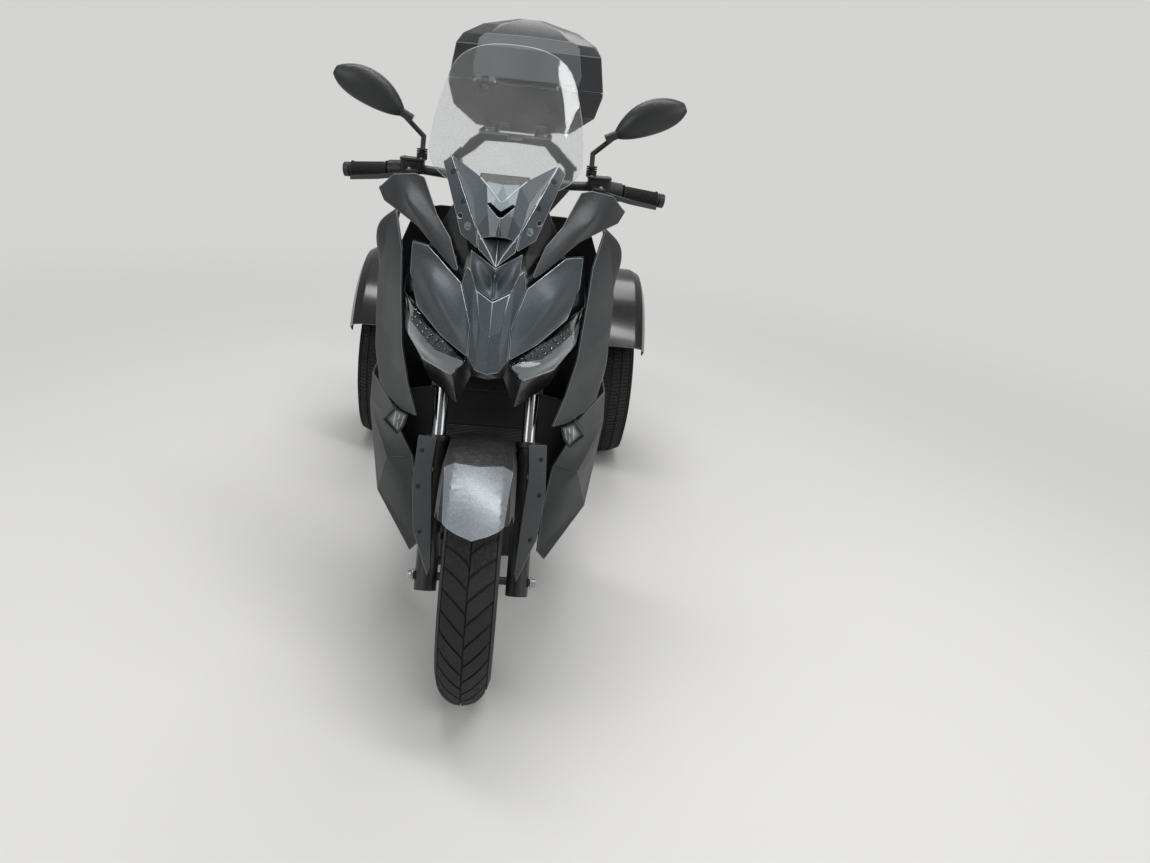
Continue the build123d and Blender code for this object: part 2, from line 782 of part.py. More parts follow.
def front_panels():
    parts = {}
    # Panels across the middle: name, mesh, fields, corners on the outline
    for name, points, fields, count in (
        ("nose_cover", NOSE, NOSE_FIELDS, 9),
        ("nose_brow", BROW, BROW_FIELDS, 5),
        ("v_panel", V_PANEL, V_FIELDS, 6),
    ):
        skin = sheet(*mirrored_mesh(points, fields), (0, PANEL_WALL, 0))
        parts[name] = skin & front_window(half_outline(points, count), SEAM / 2)
    seam = across([(0, 1014.4), (35, 1014.4), (35, 1015.6), (0, 1016.4)])
    parts["v_panel"] = parts["v_panel"] - chevron() - front_prism(seam, 60, 200)
    # Panels in pairs: name, mesh, fields, wall, corners on the outline, corner radius
    for name, points, fields, wall, count, radius in (
        ("cheeks", CHEEK, CHEEK_FIELDS, PANEL_WALL, 8, 3),
        ("headlamps", LAMP, LAMP_FIELDS, 8, 8, 3),
        ("screen_strips", STRIP, STRIP_FIELDS, 8, 5, 1.5),
        ("wings", WING, WING_FIELDS, PANEL_WALL + 2, 10, 5),
    ):
        skin = sheet(points, fields, (0, wall, 0))
        parts[name] = both_sides(skin & front_window(points[:count], SEAM / 2, radius))
    # Screw recess and open socket in each strip
    for s in (-1, 1):
        parts["screen_strips"] = parts["screen_strips"] - rod((s * 66, 60, 1033), (s * 66, 126, 1033), 7)
        parts["screen_strips"] = parts["screen_strips"] - rod((s * 83, 60, 1048), (s * 83, 240, 1048), 5)
    # Side panels in pairs: name, mesh, fields, wall as a shift inwards
    for name, points, fields, shift in (
        ("blades", BLADE, BLADE_FIELDS, (-4, 3, 0)),
        ("leg_shields", SHIELD, SHIELD_FIELDS, (-4, 3, 0)),
        ("side_cowls", SIDE_COWL, SIDE_FIELDS, (-4, -2, 0)),
    ):
        parts[name] = both_sides(sheet(points, fields, shift))
    return parts


def chevron():
    """Slot like a flat V through the upper panel."""
    return front_prism(across([(0, 1061), (23, 1076), (31, 1074), (5, 1051), (0, 1050)]), 60, 230)


# Where pegs run back from a panel into the inner cowl: panel, mesh, fields, (x, z) spots of the left half, reach,
# solids
PEGS = [
    ("nose_cover", NOSE, NOSE_FIELDS, [(20, 872), (14, 800)], 60, 1),
    ("nose_brow", BROW, BROW_FIELDS, [(18, 948)], 60, 1),
    ("v_panel", V_PANEL, V_FIELDS, [(40, 1048)], 90, 1),
    ("cheeks", CHEEK, CHEEK_FIELDS, [(78, 860), (140, 930)], 90, 2),
    ("headlamps", LAMP, LAMP_FIELDS, [(84, 778), (150, 812)], 60, 2),
    ("screen_strips", STRIP, STRIP_FIELDS, [(60, 1024)], 90, 2),
    ("wings", WING, WING_FIELDS, [(90, 966), (118, 1000)], 90, 2),
]
PEG_R = 5.0


def pegs(points, fields, spots, reach):
    """Round pegs that start in the middle of a panel's wall and run straight back."""
    block = sheet(points, fields, (0, reach, 0)).moved(Location((0, PANEL_WALL / 2, 0)))
    return [rod((x, -100, z), (x, 500, z), PEG_R) & block for x, z in spots]


def pegged(parts):
    """Adds each panel's pegs and their sockets in the inner cowl."""
    sockets = []
    for name, points, fields, spots, reach, count in PEGS:
        left = pegs(points, fields, spots, reach)
        every = left + [mirrored(peg) for peg in left]
        solids = []
        for solid in parts[name].solids():
            middle = solid.center().X
            own = [peg for peg in every if count == 1 or peg.center().X * middle > 0]
            solids += (solid + own).solids()
        parts[name] = largest(Compound(solids), count)
        for x, z in spots:
            sockets += [rod((s * x, -100, z), (s * x, 500, z), PEG_R + RUN_FIT) for s in (-1, 1)]
    parts["front_cowl"] = parts["front_cowl"] - sockets


# Windscreen: a bowed sheet that leans back, cut to its outline in the front view

SCREEN_WALL = 3.5
SCREEN_FOOT = (0, 228, 1070)
SCREEN_LEAN = 0.60
SCREEN_HALF = 200.0
SCREEN_BOW = 44.0
# Half the outline in the front view: the foot's curve, then the side and the top
SCREEN_LOW = [(0, 1078), (60, 1084), (120, 1104), (158, 1132), (171, 1160)]
SCREEN_HIGH = [(171, 1160), (166, 1225), (151, 1292), (124, 1354), (80, 1382), (0, 1392)]


def windscreen():
    y, z = SCREEN_FOOT[1], SCREEN_FOOT[2]
    far = SCREEN_HALF
    deep = y + SCREEN_BOW
    outer = ThreePointArc((-far, deep, z), (0, y, z), (far, deep, z))
    inner = ThreePointArc((-far, deep + SCREEN_WALL, z), (0, y + SCREEN_WALL, z), (far, deep + SCREEN_WALL, z))
    ends = [Line((s * far, deep, z), (s * far, deep + SCREEN_WALL, z)) for s in (-1, 1)]
    band = make_face(Curve() + [outer, inner] + ends)
    slant = Vector(0, SCREEN_LEAN, 1)
    height = 340.0
    blank = extrude(band, amount=height * slant.length, dir=tuple(slant.normalized()))
    edges = []
    for half in (SCREEN_LOW, SCREEN_HIGH):
        run = [(-x, z) for x, z in half if x > 0]
        run = half + run[::-1] if half[-1][0] == 0 else run[::-1] + half
        edges.append(Spline(*[(x, 100, z) for x, z in run]))
    return blank & extrude(make_face(Curve() + edges), amount=700, dir=(0, 1, 0))


# Frame of steel tube. Runs and stays are given for the left side.

LOWER_RUN = [
    (20, 300, 780),
    (80, 392, 560),
    (92, 430, 250),
    (118, 520, 190),
    (120, 1120, 190),
    (235, 1120, 196),
    (235, 1120, 272 - GAP),
]
UPPER_RUN = [(20, 275, 735), (64, 480, 500), (100, 640, 440), (114, 860, 480), (114, 1250, 600), (40, 1600, 850)]
# From, to, radius
STAYS = [
    ((118, 700, 190), (104, 680, 445), 12),
    ((20, 265, 740), (30, 150, 840), 7),
    ((30, 150, 840), (30, 48, 850), 7),
    ((30, 150, 840), (150, 190, 900), 7),
    ((20, 300, 790), (60, 330, 1040), 8),
    ((60, 330, 1030), (70, 246, 1104), 6),
    ((60, 330, 1020), (120, 456, 1000), 7),
    ((60, 330, 1035), (40, 340, 1052), 7),
    ((20, 300, 790), (260, 400, 800), 8),
    ((92, 430, 320), (272, 430, 320), 8),
    ((95, 1400, 690), (150, 1462, 684), 12),
    ((118, 560, 190), (250, 560, 290), 10),
    ((118, 740, 190), (250, 740, 290), 10),
    ((100, 620, 445), (176, 620, 500), 8),
    ((114, 850, 480), (200, 850, 520), 8),
    ((114, 1100, 555), (204, 1100, 600), 8),
    ((118, 980, 190), (98, 980, 300), 9),
    ((60, 860, 480), (60, 860, 528 - GAP), 8),
]
# Half length, station, height, radius
CROSS_TUBES = [
    (118, 600, 190, 12),
    (112, 860, 480, 12),
    (90, 1400, 690, 12),
    (98, 1503, 780, 12),
    (44, 1600, 850, 12),
]


def frame():
    pieces = [steer(rod((0, 0, HEAD_LOW), (0, 0, HEAD_HIGH), HEAD_R))]
    for s in (-1, 1):
        for run, radius in ((LOWER_RUN, 16), (UPPER_RUN, 15)):
            path = Polyline(*[(s * x, y, z) for x, y, z in run])
            pieces.append(
                sweep(Plane(origin=path @ 0, z_dir=path % 0) * Circle(radius), path=path, transition=Transition.RIGHT)
            )
        for a, b, radius in STAYS:
            pieces.append(rod((s * a[0], *a[1:]), (s * b[0], *b[1:]), radius))
    for half, y, z, radius in CROSS_TUBES:
        pieces.append(rod((-half, y, z), (half, y, z), radius))
    return (Part() + pieces) - steer(rod((0, 0, HEAD_LOW - 60), (0, 0, HEAD_HIGH + 60), STEM_R + RUN_FIT))


# Rear axle, engine and exhaust

GUARD_IN = 330.0
GUARD_OUT = 498.0
GUARD_R = 404.0


def rear_axle():
    end = REAR_TRACK / 2 - 52
    y, z = WHEELBASE, REAR_AXLE_Z
    pieces = [rod((-end, y, z), (end, y, z), 34)]
    pieces.append(rod((-72, y, z), (72, y, z), 92))
    pieces.append(rod((-90, y, z), (90, y, z), 60))
    pieces.append(rod((0, y + 60, z), (0, y + 98, z), 44))
    for s in (-1, 1):
        pieces.append(rod((s * (end - 14), y, z), (s * end, y, z), 52))
        pieces.append(rod((s * end, y, z), (s * (REAR_TRACK / 2 + 33), y, z), STUB_R))
        pieces.append(rod((s * 235, 1120, 300), (s * 235, y, z), 19))
        pieces.append(rod((s * 220, 1120, 300), (s * 250, 1120, 300), 28))
        pieces.append(rod((s * 235, y, z + 20), (s * 235, y + 6, z + 60), 16))
        for ahead in (-90, 90):
            pieces.append(rod((s * 270, y, z + 20), (s * 318, y + ahead, z + 355), 8))
            pieces.append(rod((s * 312, y + ahead, z + 355), (s * (GUARD_IN - GAP), y + ahead, z + 355), 14))
        # Caliper astride the rear disc, on an arm of the axle's flange
        disc_x = REAR_TRACK / 2 + REAR_DISC_X
        body = Box(58, 42, 56).locate(Location((s * (disc_x - 9), y + REAR_DISC_R - 13, z)))
        room = Box(REAR_DISC_THICK + 4, 80, 70).locate(Location((s * disc_x, y + REAR_DISC_R - 38, z)))
        pieces.append(fillet(body.edges().filter_by(Axis.X), 6) - room)
        pieces.append(Box(12, 80, 30).locate(Location((s * (end - 6), y + 66, z))))
    return Part() + pieces


def shocks():
    """Left damper with its spring as one sleeve."""
    low = Vector(235, WHEELBASE + 8, REAR_AXLE_Z + 75)
    high = Vector(142, 1462, 684)
    d = (high - low).normalized()
    one = rod(low, high, 9) + rod(low + d * 60, high - d * 50, 30) + rod(low - d * 8, low + d * 20, 17)
    return one + rod(high - d * 18, high + d * 14, 17)


# Side outlines of the engine and the belt case: (distance behind the rear axle, height)
ENGINE = [(-660, 300), (-540, 215), (-210, 215), (-120, 300), (-120, 400), (-290, 470), (-560, 470), (-660, 420)]
BELT_CASE = [(-640, 300), (-580, 240), (-200, 240), (-100, 300), (-100, 360), (-200, 430), (-580, 420), (-640, 370)]
ENGINE_HALF = 95.0


def cast_block(outline, x0, x1, radius):
    """Side outline behind the rear axle, carried across, with rounded corners."""
    block = side_prism([(y + WHEELBASE, z) for y, z in outline], x0, x1)
    return fillet(block.edges().filter_by(Axis.X), radius)


def engine_block():
    return cast_block(ENGINE, -ENGINE_HALF, ENGINE_HALF, 16)


def belt_case():
    case = cast_block(BELT_CASE, ENGINE_HALF + GAP, 164, 30)
    # Round housings over the two pulleys: station behind the axle, height, radius
    for y, z, radius in ((-520, 332, 70), (-230, 330, 84)):
        case = case + rod((150, y + WHEELBASE, z), (172, y + WHEELBASE, z), radius)
    return case


def muffler():
    y = WHEELBASE + 205
    can = rod((-170, y, 380), (170, y, 380), 62)
    can = fillet(can.edges(), 10)
    port = WHEELBASE - 120
    run = [
        (-85, port + GAP, 340), (-85, port + 24, 340), (-110, port + 70, 424),
        (-110, y - 105, 430), (-110, y - 5, 390),
    ]
    path = Polyline(*run)
    pipe = sweep(Plane(origin=path @ 0, z_dir=path % 0) * Circle(19), path=path, transition=Transition.RIGHT)
    tail = rod((150, y, 380), (196, y + 35, 372), 16) - rod((160, y + 7, 378), (200, y + 38, 371), 13)
    return can + pipe + tail


# Rear body

def mudguard():
    """Left rear guard: rounded crown, outer skirt and inner flange, on a steel stay."""
    wall = PANEL_WALL
    inner_x = GUARD_IN
    outer_x = GUARD_OUT
    crown = GUARD_R
    section = [
        (inner_x, 330),
        (inner_x, crown - 8),
        (inner_x + 8, crown),
        (outer_x - 42, crown),
        (outer_x - 12, crown - 14),
        (outer_x, crown - 44),
        (outer_x, 316),
    ]
    band = ribbon([(x - REAR_TRACK / 2, r) for x, r in section][::-1], wall)
    face = make_face(Polyline(*[(x, 0, r) for x, r in band], close=True))
    arc = revolve(face.rotate(Axis.X, 58), Axis.X, -116)
    return arc.moved(Location((REAR_TRACK / 2, WHEELBASE, REAR_AXLE_Z)))


def floorboards():
    """Tread plates on both sides of the raised tunnel."""
    run = [(0, 590), (78, 584), (112, 548), (122, 322), (250, 322), (256, 300)]
    band = ribbon(run[::-1], PANEL_WALL)
    half = front_prism(band, 478 + GAP, 780)
    return half + mirrored(half)


def splash_panel():
    """Black guard behind the front wheel, with the radiator's opening."""
    outline = across([
        (0, 600), (130, 610), (226, 590), (248, 540), (232, 460),
        (186, 325), (146, 200), (120, 160), (0, 150),
    ])
    board = front_prism(outline, 330 - GAP - PANEL_WALL, 330 - GAP)
    opening = across([(0, 520), (110, 520), (110, 360), (0, 360)])
    board = board - front_prism(opening, 300, 340)
    # Bosses back to the frame's lower runs
    for s in (-1, 1):
        for x, y, z in ((80, 392, 560), (90, 424, 300)):
            board = board + rod((s * x, 328, z), (s * x, y, z), 7)
    return board


def radiator():
    core = Box(216, 22, 156).locate(Location((0, 345, 440)))
    for s in (-1, 1):
        core = core + Box(24, 30, 164).locate(Location((s * 112, 345, 440)))
        core = core + rod((s * 108, 350, 490), (s * 90, 402, 500), 7)
    return core


HINGE_R = 4.0
SEAT_HINGE = (712, 702)
SEAT_SECTIONS = [
    (706, 60, 716, 740),
    (800, 118, 716, 786),
    (1000, 150, 752, 800),
    (1160, 166, 786, 818),
    (1225, 166, 802, 898),
    (1440, 112, 856, 922),
]


def seat():
    rings = []
    for y, half, low, high in SEAT_SECTIONS:
        ring = across([
            (0, high), (half * 0.72, high - 3), (half, high - 24 * min(1, (high - low) / 50)),
            (half, low), (half * 0.6, low),
        ])
        rings.append([(x, y, z) for x, z in ring])
    cushion = facet_loft(*rings)
    y, z = SEAT_HINGE
    for s in (-1, 1):
        knuckle = rod((s * 40, y, z), (s * 54, y, z), 9) + Box(14, 18, 16).locate(Location((s * 47, y + 2, z + 10)))
        cushion = cushion + (knuckle - rod((s * 36, y, z), (s * 58, y, z), HINGE_R + RUN_FIT))
    return cushion


def storage_tub():
    """Open tub under the seat."""
    outer = plan_prism(across([(0, 786), (80, 786), (96, 830), (96, 1190), (0, 1190)]), 528, 700)
    inner = plan_prism(across([(0, 789), (78, 789), (93, 832), (93, 1187), (0, 1187)]), 531, 720)
    y, z = SEAT_HINGE
    tub = outer - inner
    for s in (-1, 1):
        tub = tub + Box(14, 790 - y, 10).locate(Location((s * 30, (y + 790) / 2, 694)))
        tub = tub + rod((s * 22, y, z), (s * 38, y, z), 9)
    return tub + rod((-56, y, z), (56, y, z), HINGE_R)


def tail_lamp():
    return facet_loft(
        [(-54, 1612 + GAP, 838), (54, 1612 + GAP, 838), (50, 1612 + GAP, 892), (-50, 1612 + GAP, 892)],
        [(-40, 1690, 846), (40, 1690, 846), (36, 1684, 890), (-36, 1684, 890)],
    )


def instrument_hood():
    return facet_loft(
        [(-56, 292, 1046), (56, 292, 1046), (48, 292, 1086), (-48, 292, 1086)],
        [(-72, 366, 1046), (72, 366, 1046), (56, 366, 1116), (-56, 366, 1116)],
    )


def arch_carrier():
    """Bridge behind the passenger, with the rack plate that takes the case."""
    outer = across([
        (0, 1122), (118, 1122), (160, 1090), (210, 1040), (200, 960), (128, 866),
        (100, 786), (76, 786), (98, 880), (168, 968), (178, 1030), (132, 1064),
        (100, 1097), (0, 1100),
    ])
    bridge = front_prism(outer, 1478, 1528)
    notch = front_prism([(-24, 1110), (24, 1110), (24, 1140), (-24, 1140)], 1460, 1500)
    plate = plan_prism(across([(0, 1500), (118, 1500), (130, 1600), (120, 1850), (0, 1860)]), 1112, 1124)
    hole = plan_prism(across([(0, 1560), (60, 1560), (66, 1640), (60, 1800), (0, 1800)]), 1100, 1130)
    carrier = bridge - notch + (plate - hole)
    for s in (-1, 1):
        for y in (1620, 1820):
            carrier = carrier + Box(26, 34, 10 - GAP).locate(Location((s * 90, y, 1124 + (10 - GAP) / 2)))
    return carrier


# Rings of the case: height, half width, front station, back station
CASE_RINGS = [
    (1134, 168, 1606, 1900),
    (1196, 250, 1580, 1960),
    (1268, 270, 1566, 1982),
    (1282, 270, 1562, CASE_BACK),
]
LID_RINGS = [
    (1284, 270, 1562, CASE_BACK),
    (1398, 252, 1576, 1962),
    (1430, 232, 1598, 1930),
    (1468, 166, 1640, 1880),
    (1496, 46, 1700, 1810),
]
CASE_WALL = 4.0


def case_ring(z, half, front, back):
    """Plan outline of the case at one height, with rounded corners."""
    corner = min(46, half * 0.6)
    ring = across([
        (half * 0.62, front), (half, front + corner * 1.6),
        (half * 0.94, back - corner * 2), (half * 0.55, back),
    ])
    return fillet(face_of([(x + CASE_X, y, z) for x, y in ring]).vertices(), corner * 0.4)


def case_shell(rings, open_low):
    """Shell through the rings, open at the top or, for the lid, at the bottom."""
    outer = loft([case_ring(*r) for r in rings], ruled=True)
    wall = CASE_WALL
    inside = [(z, half - wall, front + wall, back - wall) for z, half, front, back in rings]
    if open_low:
        inside = [(inside[0][0] - 20, *inside[0][1:])] + inside[:-1] + [(inside[-1][0] - wall, *inside[-1][1:])]
    else:
        inside = [(inside[0][0] + wall, *inside[0][1:])] + inside[1:] + [(inside[-1][0] + 20, *inside[-1][1:])]
    return outer - loft([case_ring(*r) for r in inside], ruled=True)


CASE_HINGE = (1556, 1284)


def top_case():
    base = case_shell(CASE_RINGS, False)
    lid = case_shell(LID_RINGS, True)
    y, z = CASE_HINGE
    for s in (-1, 1):
        x = CASE_X + s * 140
        low = Box(20, 14, 26).locate(Location((x, y + 3, z - 13))) + rod((x - 10, y, z), (x + 10, y, z), 9)
        pin = rod((x - 34, y, z), (x + 34, y, z), HINGE_R)
        base = base + low + pin
        room = rod((x - 11, y, z), (x + 11, y, z), 14)
        lid = lid - room
        for t in (-1, 1):
            k = x + t * 23
            arm = rod((k - 9, y, z), (k + 9, y, z), 9) + Box(18, 20, 12).locate(Location((k, y + 10, z + 9)))
            lid = lid + (arm - rod((k - 20, y, z), (k + 20, y, z), HINGE_R + RUN_FIT))
            base = base - rod((k - 9.5, y, z), (k + 9.5, y, z), 12) + pin
    # Two latch tongues on the base and the catch on the lid's back
    for s in (-1, 1):
        tongue = Box(34, 10, 16).locate(Location((CASE_X + s * 66, 1597, 1146)))
        base = base + tongue
    base = base + Box(64, 8, 40).locate(Location((CASE_X, CASE_BACK - 1, 1256)))
    return base, lid


# Lighter panel on the front of the lid: its outline in the front view, from the lid's middle
CASE_PANEL = [(0, 1300), (178, 1300), (184, 1330), (170, 1418), (150, 1436), (0, 1440)]


def case_panel():
    """Panel that lies on the lid's sloping front."""
    (z0, _, y0, _), (z1, _, y1, _) = LID_RINGS[0], LID_RINGS[1]
    slope = (y1 - y0) / (z1 - z0)
    z2, _, y2, _ = LID_RINGS[2]
    low, mid, high = (y0 + slope * (1300 - z0), y1, y2 + (y2 - y1) / (z2 - z1) * 10)
    side = [(low - 4 - GAP, 1300), (y1 - 4 - GAP, z1), (high - 6, z2 + 10), (high, z2 + 10), (y1, z1), (low, 1300)]
    slab = side_prism(side, -240, 240)
    window = front_prism(across(CASE_PANEL), 1500, 1700)
    window = fillet(window.edges().filter_by(Axis.Y), 2)
    return (slab & window).moved(Location((CASE_X, 0, 0)))


def fuel_lid():
    return Box(76, 110, 4).locate(Location((0, 700, 592 + GAP)))


SIGNAL = [(178, 590), (204, 603), (226, 576), (198, 547), (185, 566)]


def turn_signal():
    """Left turn signal: its lens, and the dark pod that the lens sits in."""
    lens_y, pod_y, back_y = 152.0, 162.0, 200.0
    outline = inset(SIGNAL[::-1], GAP)
    pod = front_prism(inset(SIGNAL[::-1], -4), pod_y - 4, back_y)
    pod = fillet(pod.edges().filter_by(Axis.Y), 4)
    pod = pod - front_prism(SIGNAL[::-1], pod_y - 20, pod_y + 14)
    centre = (200, lens_y, 577)
    points = [(x, pod_y + (x - 178) * 0.12, z) for x, z in outline] + [centre]
    lens = sheet(points, [((0, 1, 2, 3, 4), (5,))], (0, 12, 0))
    lens = lens & front_prism(outline, 100, pod_y + 14 - GAP)
    return lens, pod


PLATE_HOLE_R = 3.25
PLATE_HOLE_SPAN = 180.0


def plate_bracket():
    """Carrier of the number plate, with its two screw holes."""
    run = [
        (1586, 838 - GAP), (1612, 838 - GAP), (1660, 822), (1806, 690), (1806, 480),
        (1800, 480), (1796, 684), (1655, 808), (1586, 824),
    ]
    arm = side_prism(run, -30, 30)
    board = Box(220, 4, 200).locate(Location((0, 1808, 590)))
    board = fillet(board.edges().filter_by(Axis.Y), 12)
    for s in (-1, 1):
        x = s * PLATE_HOLE_SPAN / 2
        board = board - rod((x, 1790, 640), (x, 1820, 640), PLATE_HOLE_R)
    return arm + board


# Pieces that are cut to fit round what carries them: name, carriers, solids left
SEATED = [
    ("front_cowl", ["frame", "headlamps"], 1),
    ("belt_case", ["frame"], 1),
    ("floorboards", ["frame"], 1),
    ("plate_bracket", ["frame"], 1),
    ("windscreen", ["frame"], 1),
    ("instrument_hood", ["frame"], 1),
    ("dash", ["frame"], 1),
    ("radiator", ["frame"], 1),
    ("engine_block", ["frame"], 1),
    ("shocks", ["frame", "rear_axle"], 2),
    ("blades", ["frame", "dash", "signal_pods"], 2),
    ("leg_shields", ["frame", "signal_pods", "blades"], 2),
    ("splash_panel", ["frame"], 1),
    ("side_cowls", ["frame"], 2),
    ("arch_carrier", ["frame", "side_cowls"], 1),
    ("switchgear", ["handlebar"], 2),
    ("mirrors", ["switchgear"], 2),
    ("tail_lamp", ["side_cowls"], 1),
]


def gather():
    """Every piece by name, in the axle's stations."""
    parts = {}
    parts.update(front_wheel())
    parts.update(rear_wheels())
    parts["fork"] = fork()
    parts["fork_covers"] = both_sides(steer(fork_cover()))
    parts["front_fender"], parts["fender_frame"] = front_fender()
    parts["handlebar"] = handlebar()
    parts["grips"] = both_sides(grip())
    parts["switchgear"] = both_sides(switchgear())
    parts["mirrors"] = both_sides(mirror())
    lens, pod = turn_signal()
    parts["turn_signals"] = both_sides(lens)
    parts["signal_pods"] = both_sides(pod)
    parts.update(front_panels())
    parts["front_cowl"] = sheet(*mirrored_mesh(INNER, INNER_FIELDS), (0, PANEL_WALL, 0))
    parts["windscreen"] = windscreen()
    parts["frame"] = frame()
    parts["rear_axle"] = rear_axle()
    parts["shocks"] = both_sides(shocks())
    parts["engine_block"] = engine_block()
    parts["belt_case"] = belt_case()
    parts["muffler"] = muffler()
    parts["mudguards"] = both_sides(mudguard())
    parts["floorboards"] = floorboards()
    parts["splash_panel"] = splash_panel()
    parts["radiator"] = radiator()
    parts["dash"] = sheet(*mirrored_mesh(DASH, DASH_FIELDS), (0, -PANEL_WALL, 0))
    parts["seat"] = seat()
    parts["storage_tub"] = storage_tub()
    parts["tail_lamp"] = tail_lamp()
    parts["instrument_hood"] = instrument_hood()
    parts["arch_carrier"] = arch_carrier()
    parts["case_base"], parts["case_lid"] = top_case()
    parts["case_panel"] = case_panel() - parts["case_lid"]
    parts["fuel_lid"] = fuel_lid()
    parts["plate_bracket"] = plate_bracket()
    pegged(parts)
    for name, carriers, count in SEATED:
        for carrier in carriers:
            parts[name] = parts[name] - parts[carrier]
        parts[name] = largest(parts[name], count)
    return parts


def main():
    os.makedirs("parts", exist_ok=True)
    for name, shape in gather().items():
        shape = shape.moved(Location((0, -MID_STATION, 0)))
        solids = shape.solids()
        out = solids[0] if len(solids) == 1 else Compound(list(solids))
        export_step(out, f"parts/{name}.step")


main()
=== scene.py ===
import json
import math

import bmesh
import bpy
from mathutils import Matrix, Vector
from mathutils.bvhtree import BVHTree

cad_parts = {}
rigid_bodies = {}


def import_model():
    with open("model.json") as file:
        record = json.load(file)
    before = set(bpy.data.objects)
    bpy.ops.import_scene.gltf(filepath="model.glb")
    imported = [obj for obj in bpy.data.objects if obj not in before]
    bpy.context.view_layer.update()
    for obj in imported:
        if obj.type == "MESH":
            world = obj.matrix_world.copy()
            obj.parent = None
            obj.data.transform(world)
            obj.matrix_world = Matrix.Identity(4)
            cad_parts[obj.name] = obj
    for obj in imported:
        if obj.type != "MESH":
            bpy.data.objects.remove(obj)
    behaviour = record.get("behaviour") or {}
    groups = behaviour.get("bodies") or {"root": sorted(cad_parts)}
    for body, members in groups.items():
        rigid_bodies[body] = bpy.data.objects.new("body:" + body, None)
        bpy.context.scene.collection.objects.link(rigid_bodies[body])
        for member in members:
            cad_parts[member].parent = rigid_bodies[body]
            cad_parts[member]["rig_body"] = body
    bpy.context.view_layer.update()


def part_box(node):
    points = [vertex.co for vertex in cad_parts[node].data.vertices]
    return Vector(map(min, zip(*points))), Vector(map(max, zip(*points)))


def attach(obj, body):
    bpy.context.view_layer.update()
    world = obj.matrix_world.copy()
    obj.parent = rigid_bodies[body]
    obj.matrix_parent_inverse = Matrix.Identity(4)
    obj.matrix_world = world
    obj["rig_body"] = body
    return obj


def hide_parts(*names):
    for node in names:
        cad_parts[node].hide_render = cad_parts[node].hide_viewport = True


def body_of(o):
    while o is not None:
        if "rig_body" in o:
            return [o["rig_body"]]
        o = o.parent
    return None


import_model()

# The camera stands a little to the trike's left, above its nose, and is held slightly askew, as the
# photograph was taken. Its place is measured from the front axle, which lies 855.5 mm ahead of the middle.
AXLE_STATION = 855.5
yaw, pitch, roll = (math.radians(a) for a in (4.57, 21.17, 6.38))
ahead = Vector((math.sin(yaw) * math.cos(pitch), math.cos(yaw) * math.cos(pitch), -math.sin(pitch)))
level = ahead.cross(Vector((0, 0, 1))).normalized()
upright = level.cross(ahead)
right = level * math.cos(roll) + upright * math.sin(roll)
up = upright * math.cos(roll) - level * math.sin(roll)


def placed(name, data):
    """A new object in the scene."""
    item = bpy.data.objects.new(name, data)
    bpy.context.scene.collection.objects.link(item)
    return item


FOCAL_PIXELS = 936.3
PICTURE_PIXELS = 1150
lens = bpy.data.cameras.new("photo_camera")
lens.sensor_width = 36.0
lens.lens = FOCAL_PIXELS / PICTURE_PIXELS * lens.sensor_width
camera = placed("photo_camera", lens)
camera.matrix_world = Matrix((
    (right.x, up.x, -ahead.x, 0.047),
    (right.y, up.y, -ahead.y, -AXLE_STATION / 1000 - 1.838),
    (right.z, up.z, -ahead.z, 1.361),
    (0, 0, 0, 1),
))
bpy.context.scene.camera = camera
bpy.context.scene.view_settings.view_transform = "Standard"


def add(tree, kind, links=None, **settings):
    """One node with its settings, and its sockets' values or links."""
    node = tree.nodes.new(kind)
    for name, value in settings.items():
        setattr(node, name, value)
    for socket, value in (links or {}).items():
        target = node.inputs[socket]
        if isinstance(value, bpy.types.NodeSocket):
            tree.links.new(value, target)
        else:
            target.default_value = value
    return node


def triple(tree, x=0.0, y=0.0, z=0.0):
    """Three values as one vector."""
    return add(tree, "ShaderNodeCombineXYZ", {0: x, 1: y, 2: z}).outputs[0]


def figure(tree, kind, *values):
    """One arithmetic step on a node tree's values."""
    return add(tree, "ShaderNodeMath", dict(enumerate(values)), operation=kind).outputs[0]


def ramp(tree, value, low, high, out_low=0.0, out_high=1.0, **settings):
    """A value carried from one span over to another."""
    links = {"Value": value, "From Min": low, "From Max": high, "To Min": out_low, "To Max": out_high}
    return add(tree, "ShaderNodeMapRange", links, **settings).outputs[0]


def noise(tree, where, scale, detail):
    """Cloudy noise over a place."""
    return add(tree, "ShaderNodeTexNoise", {"Vector": where, "Scale": scale, "Detail": detail}).outputs[0]


def own_place(tree):
    """Where a point lies on its object."""
    return add(tree, "ShaderNodeTexCoord").outputs["Object"]


def fresh(name):
    """A new material with its node tree and main shader."""
    material = bpy.data.materials.new(name)
    material.use_nodes = True
    return material, material.node_tree, material.node_tree.nodes["Principled BSDF"]


def linear(code):
    """An sRGB hex colour as linear values."""
    parts = [int(code[i:i + 2], 16) / 255 for i in (1, 3, 5)]
    return (*[c / 12.92 if c <= 0.04045 else ((c + 0.055) / 1.055) ** 2.4 for c in parts], 1.0)


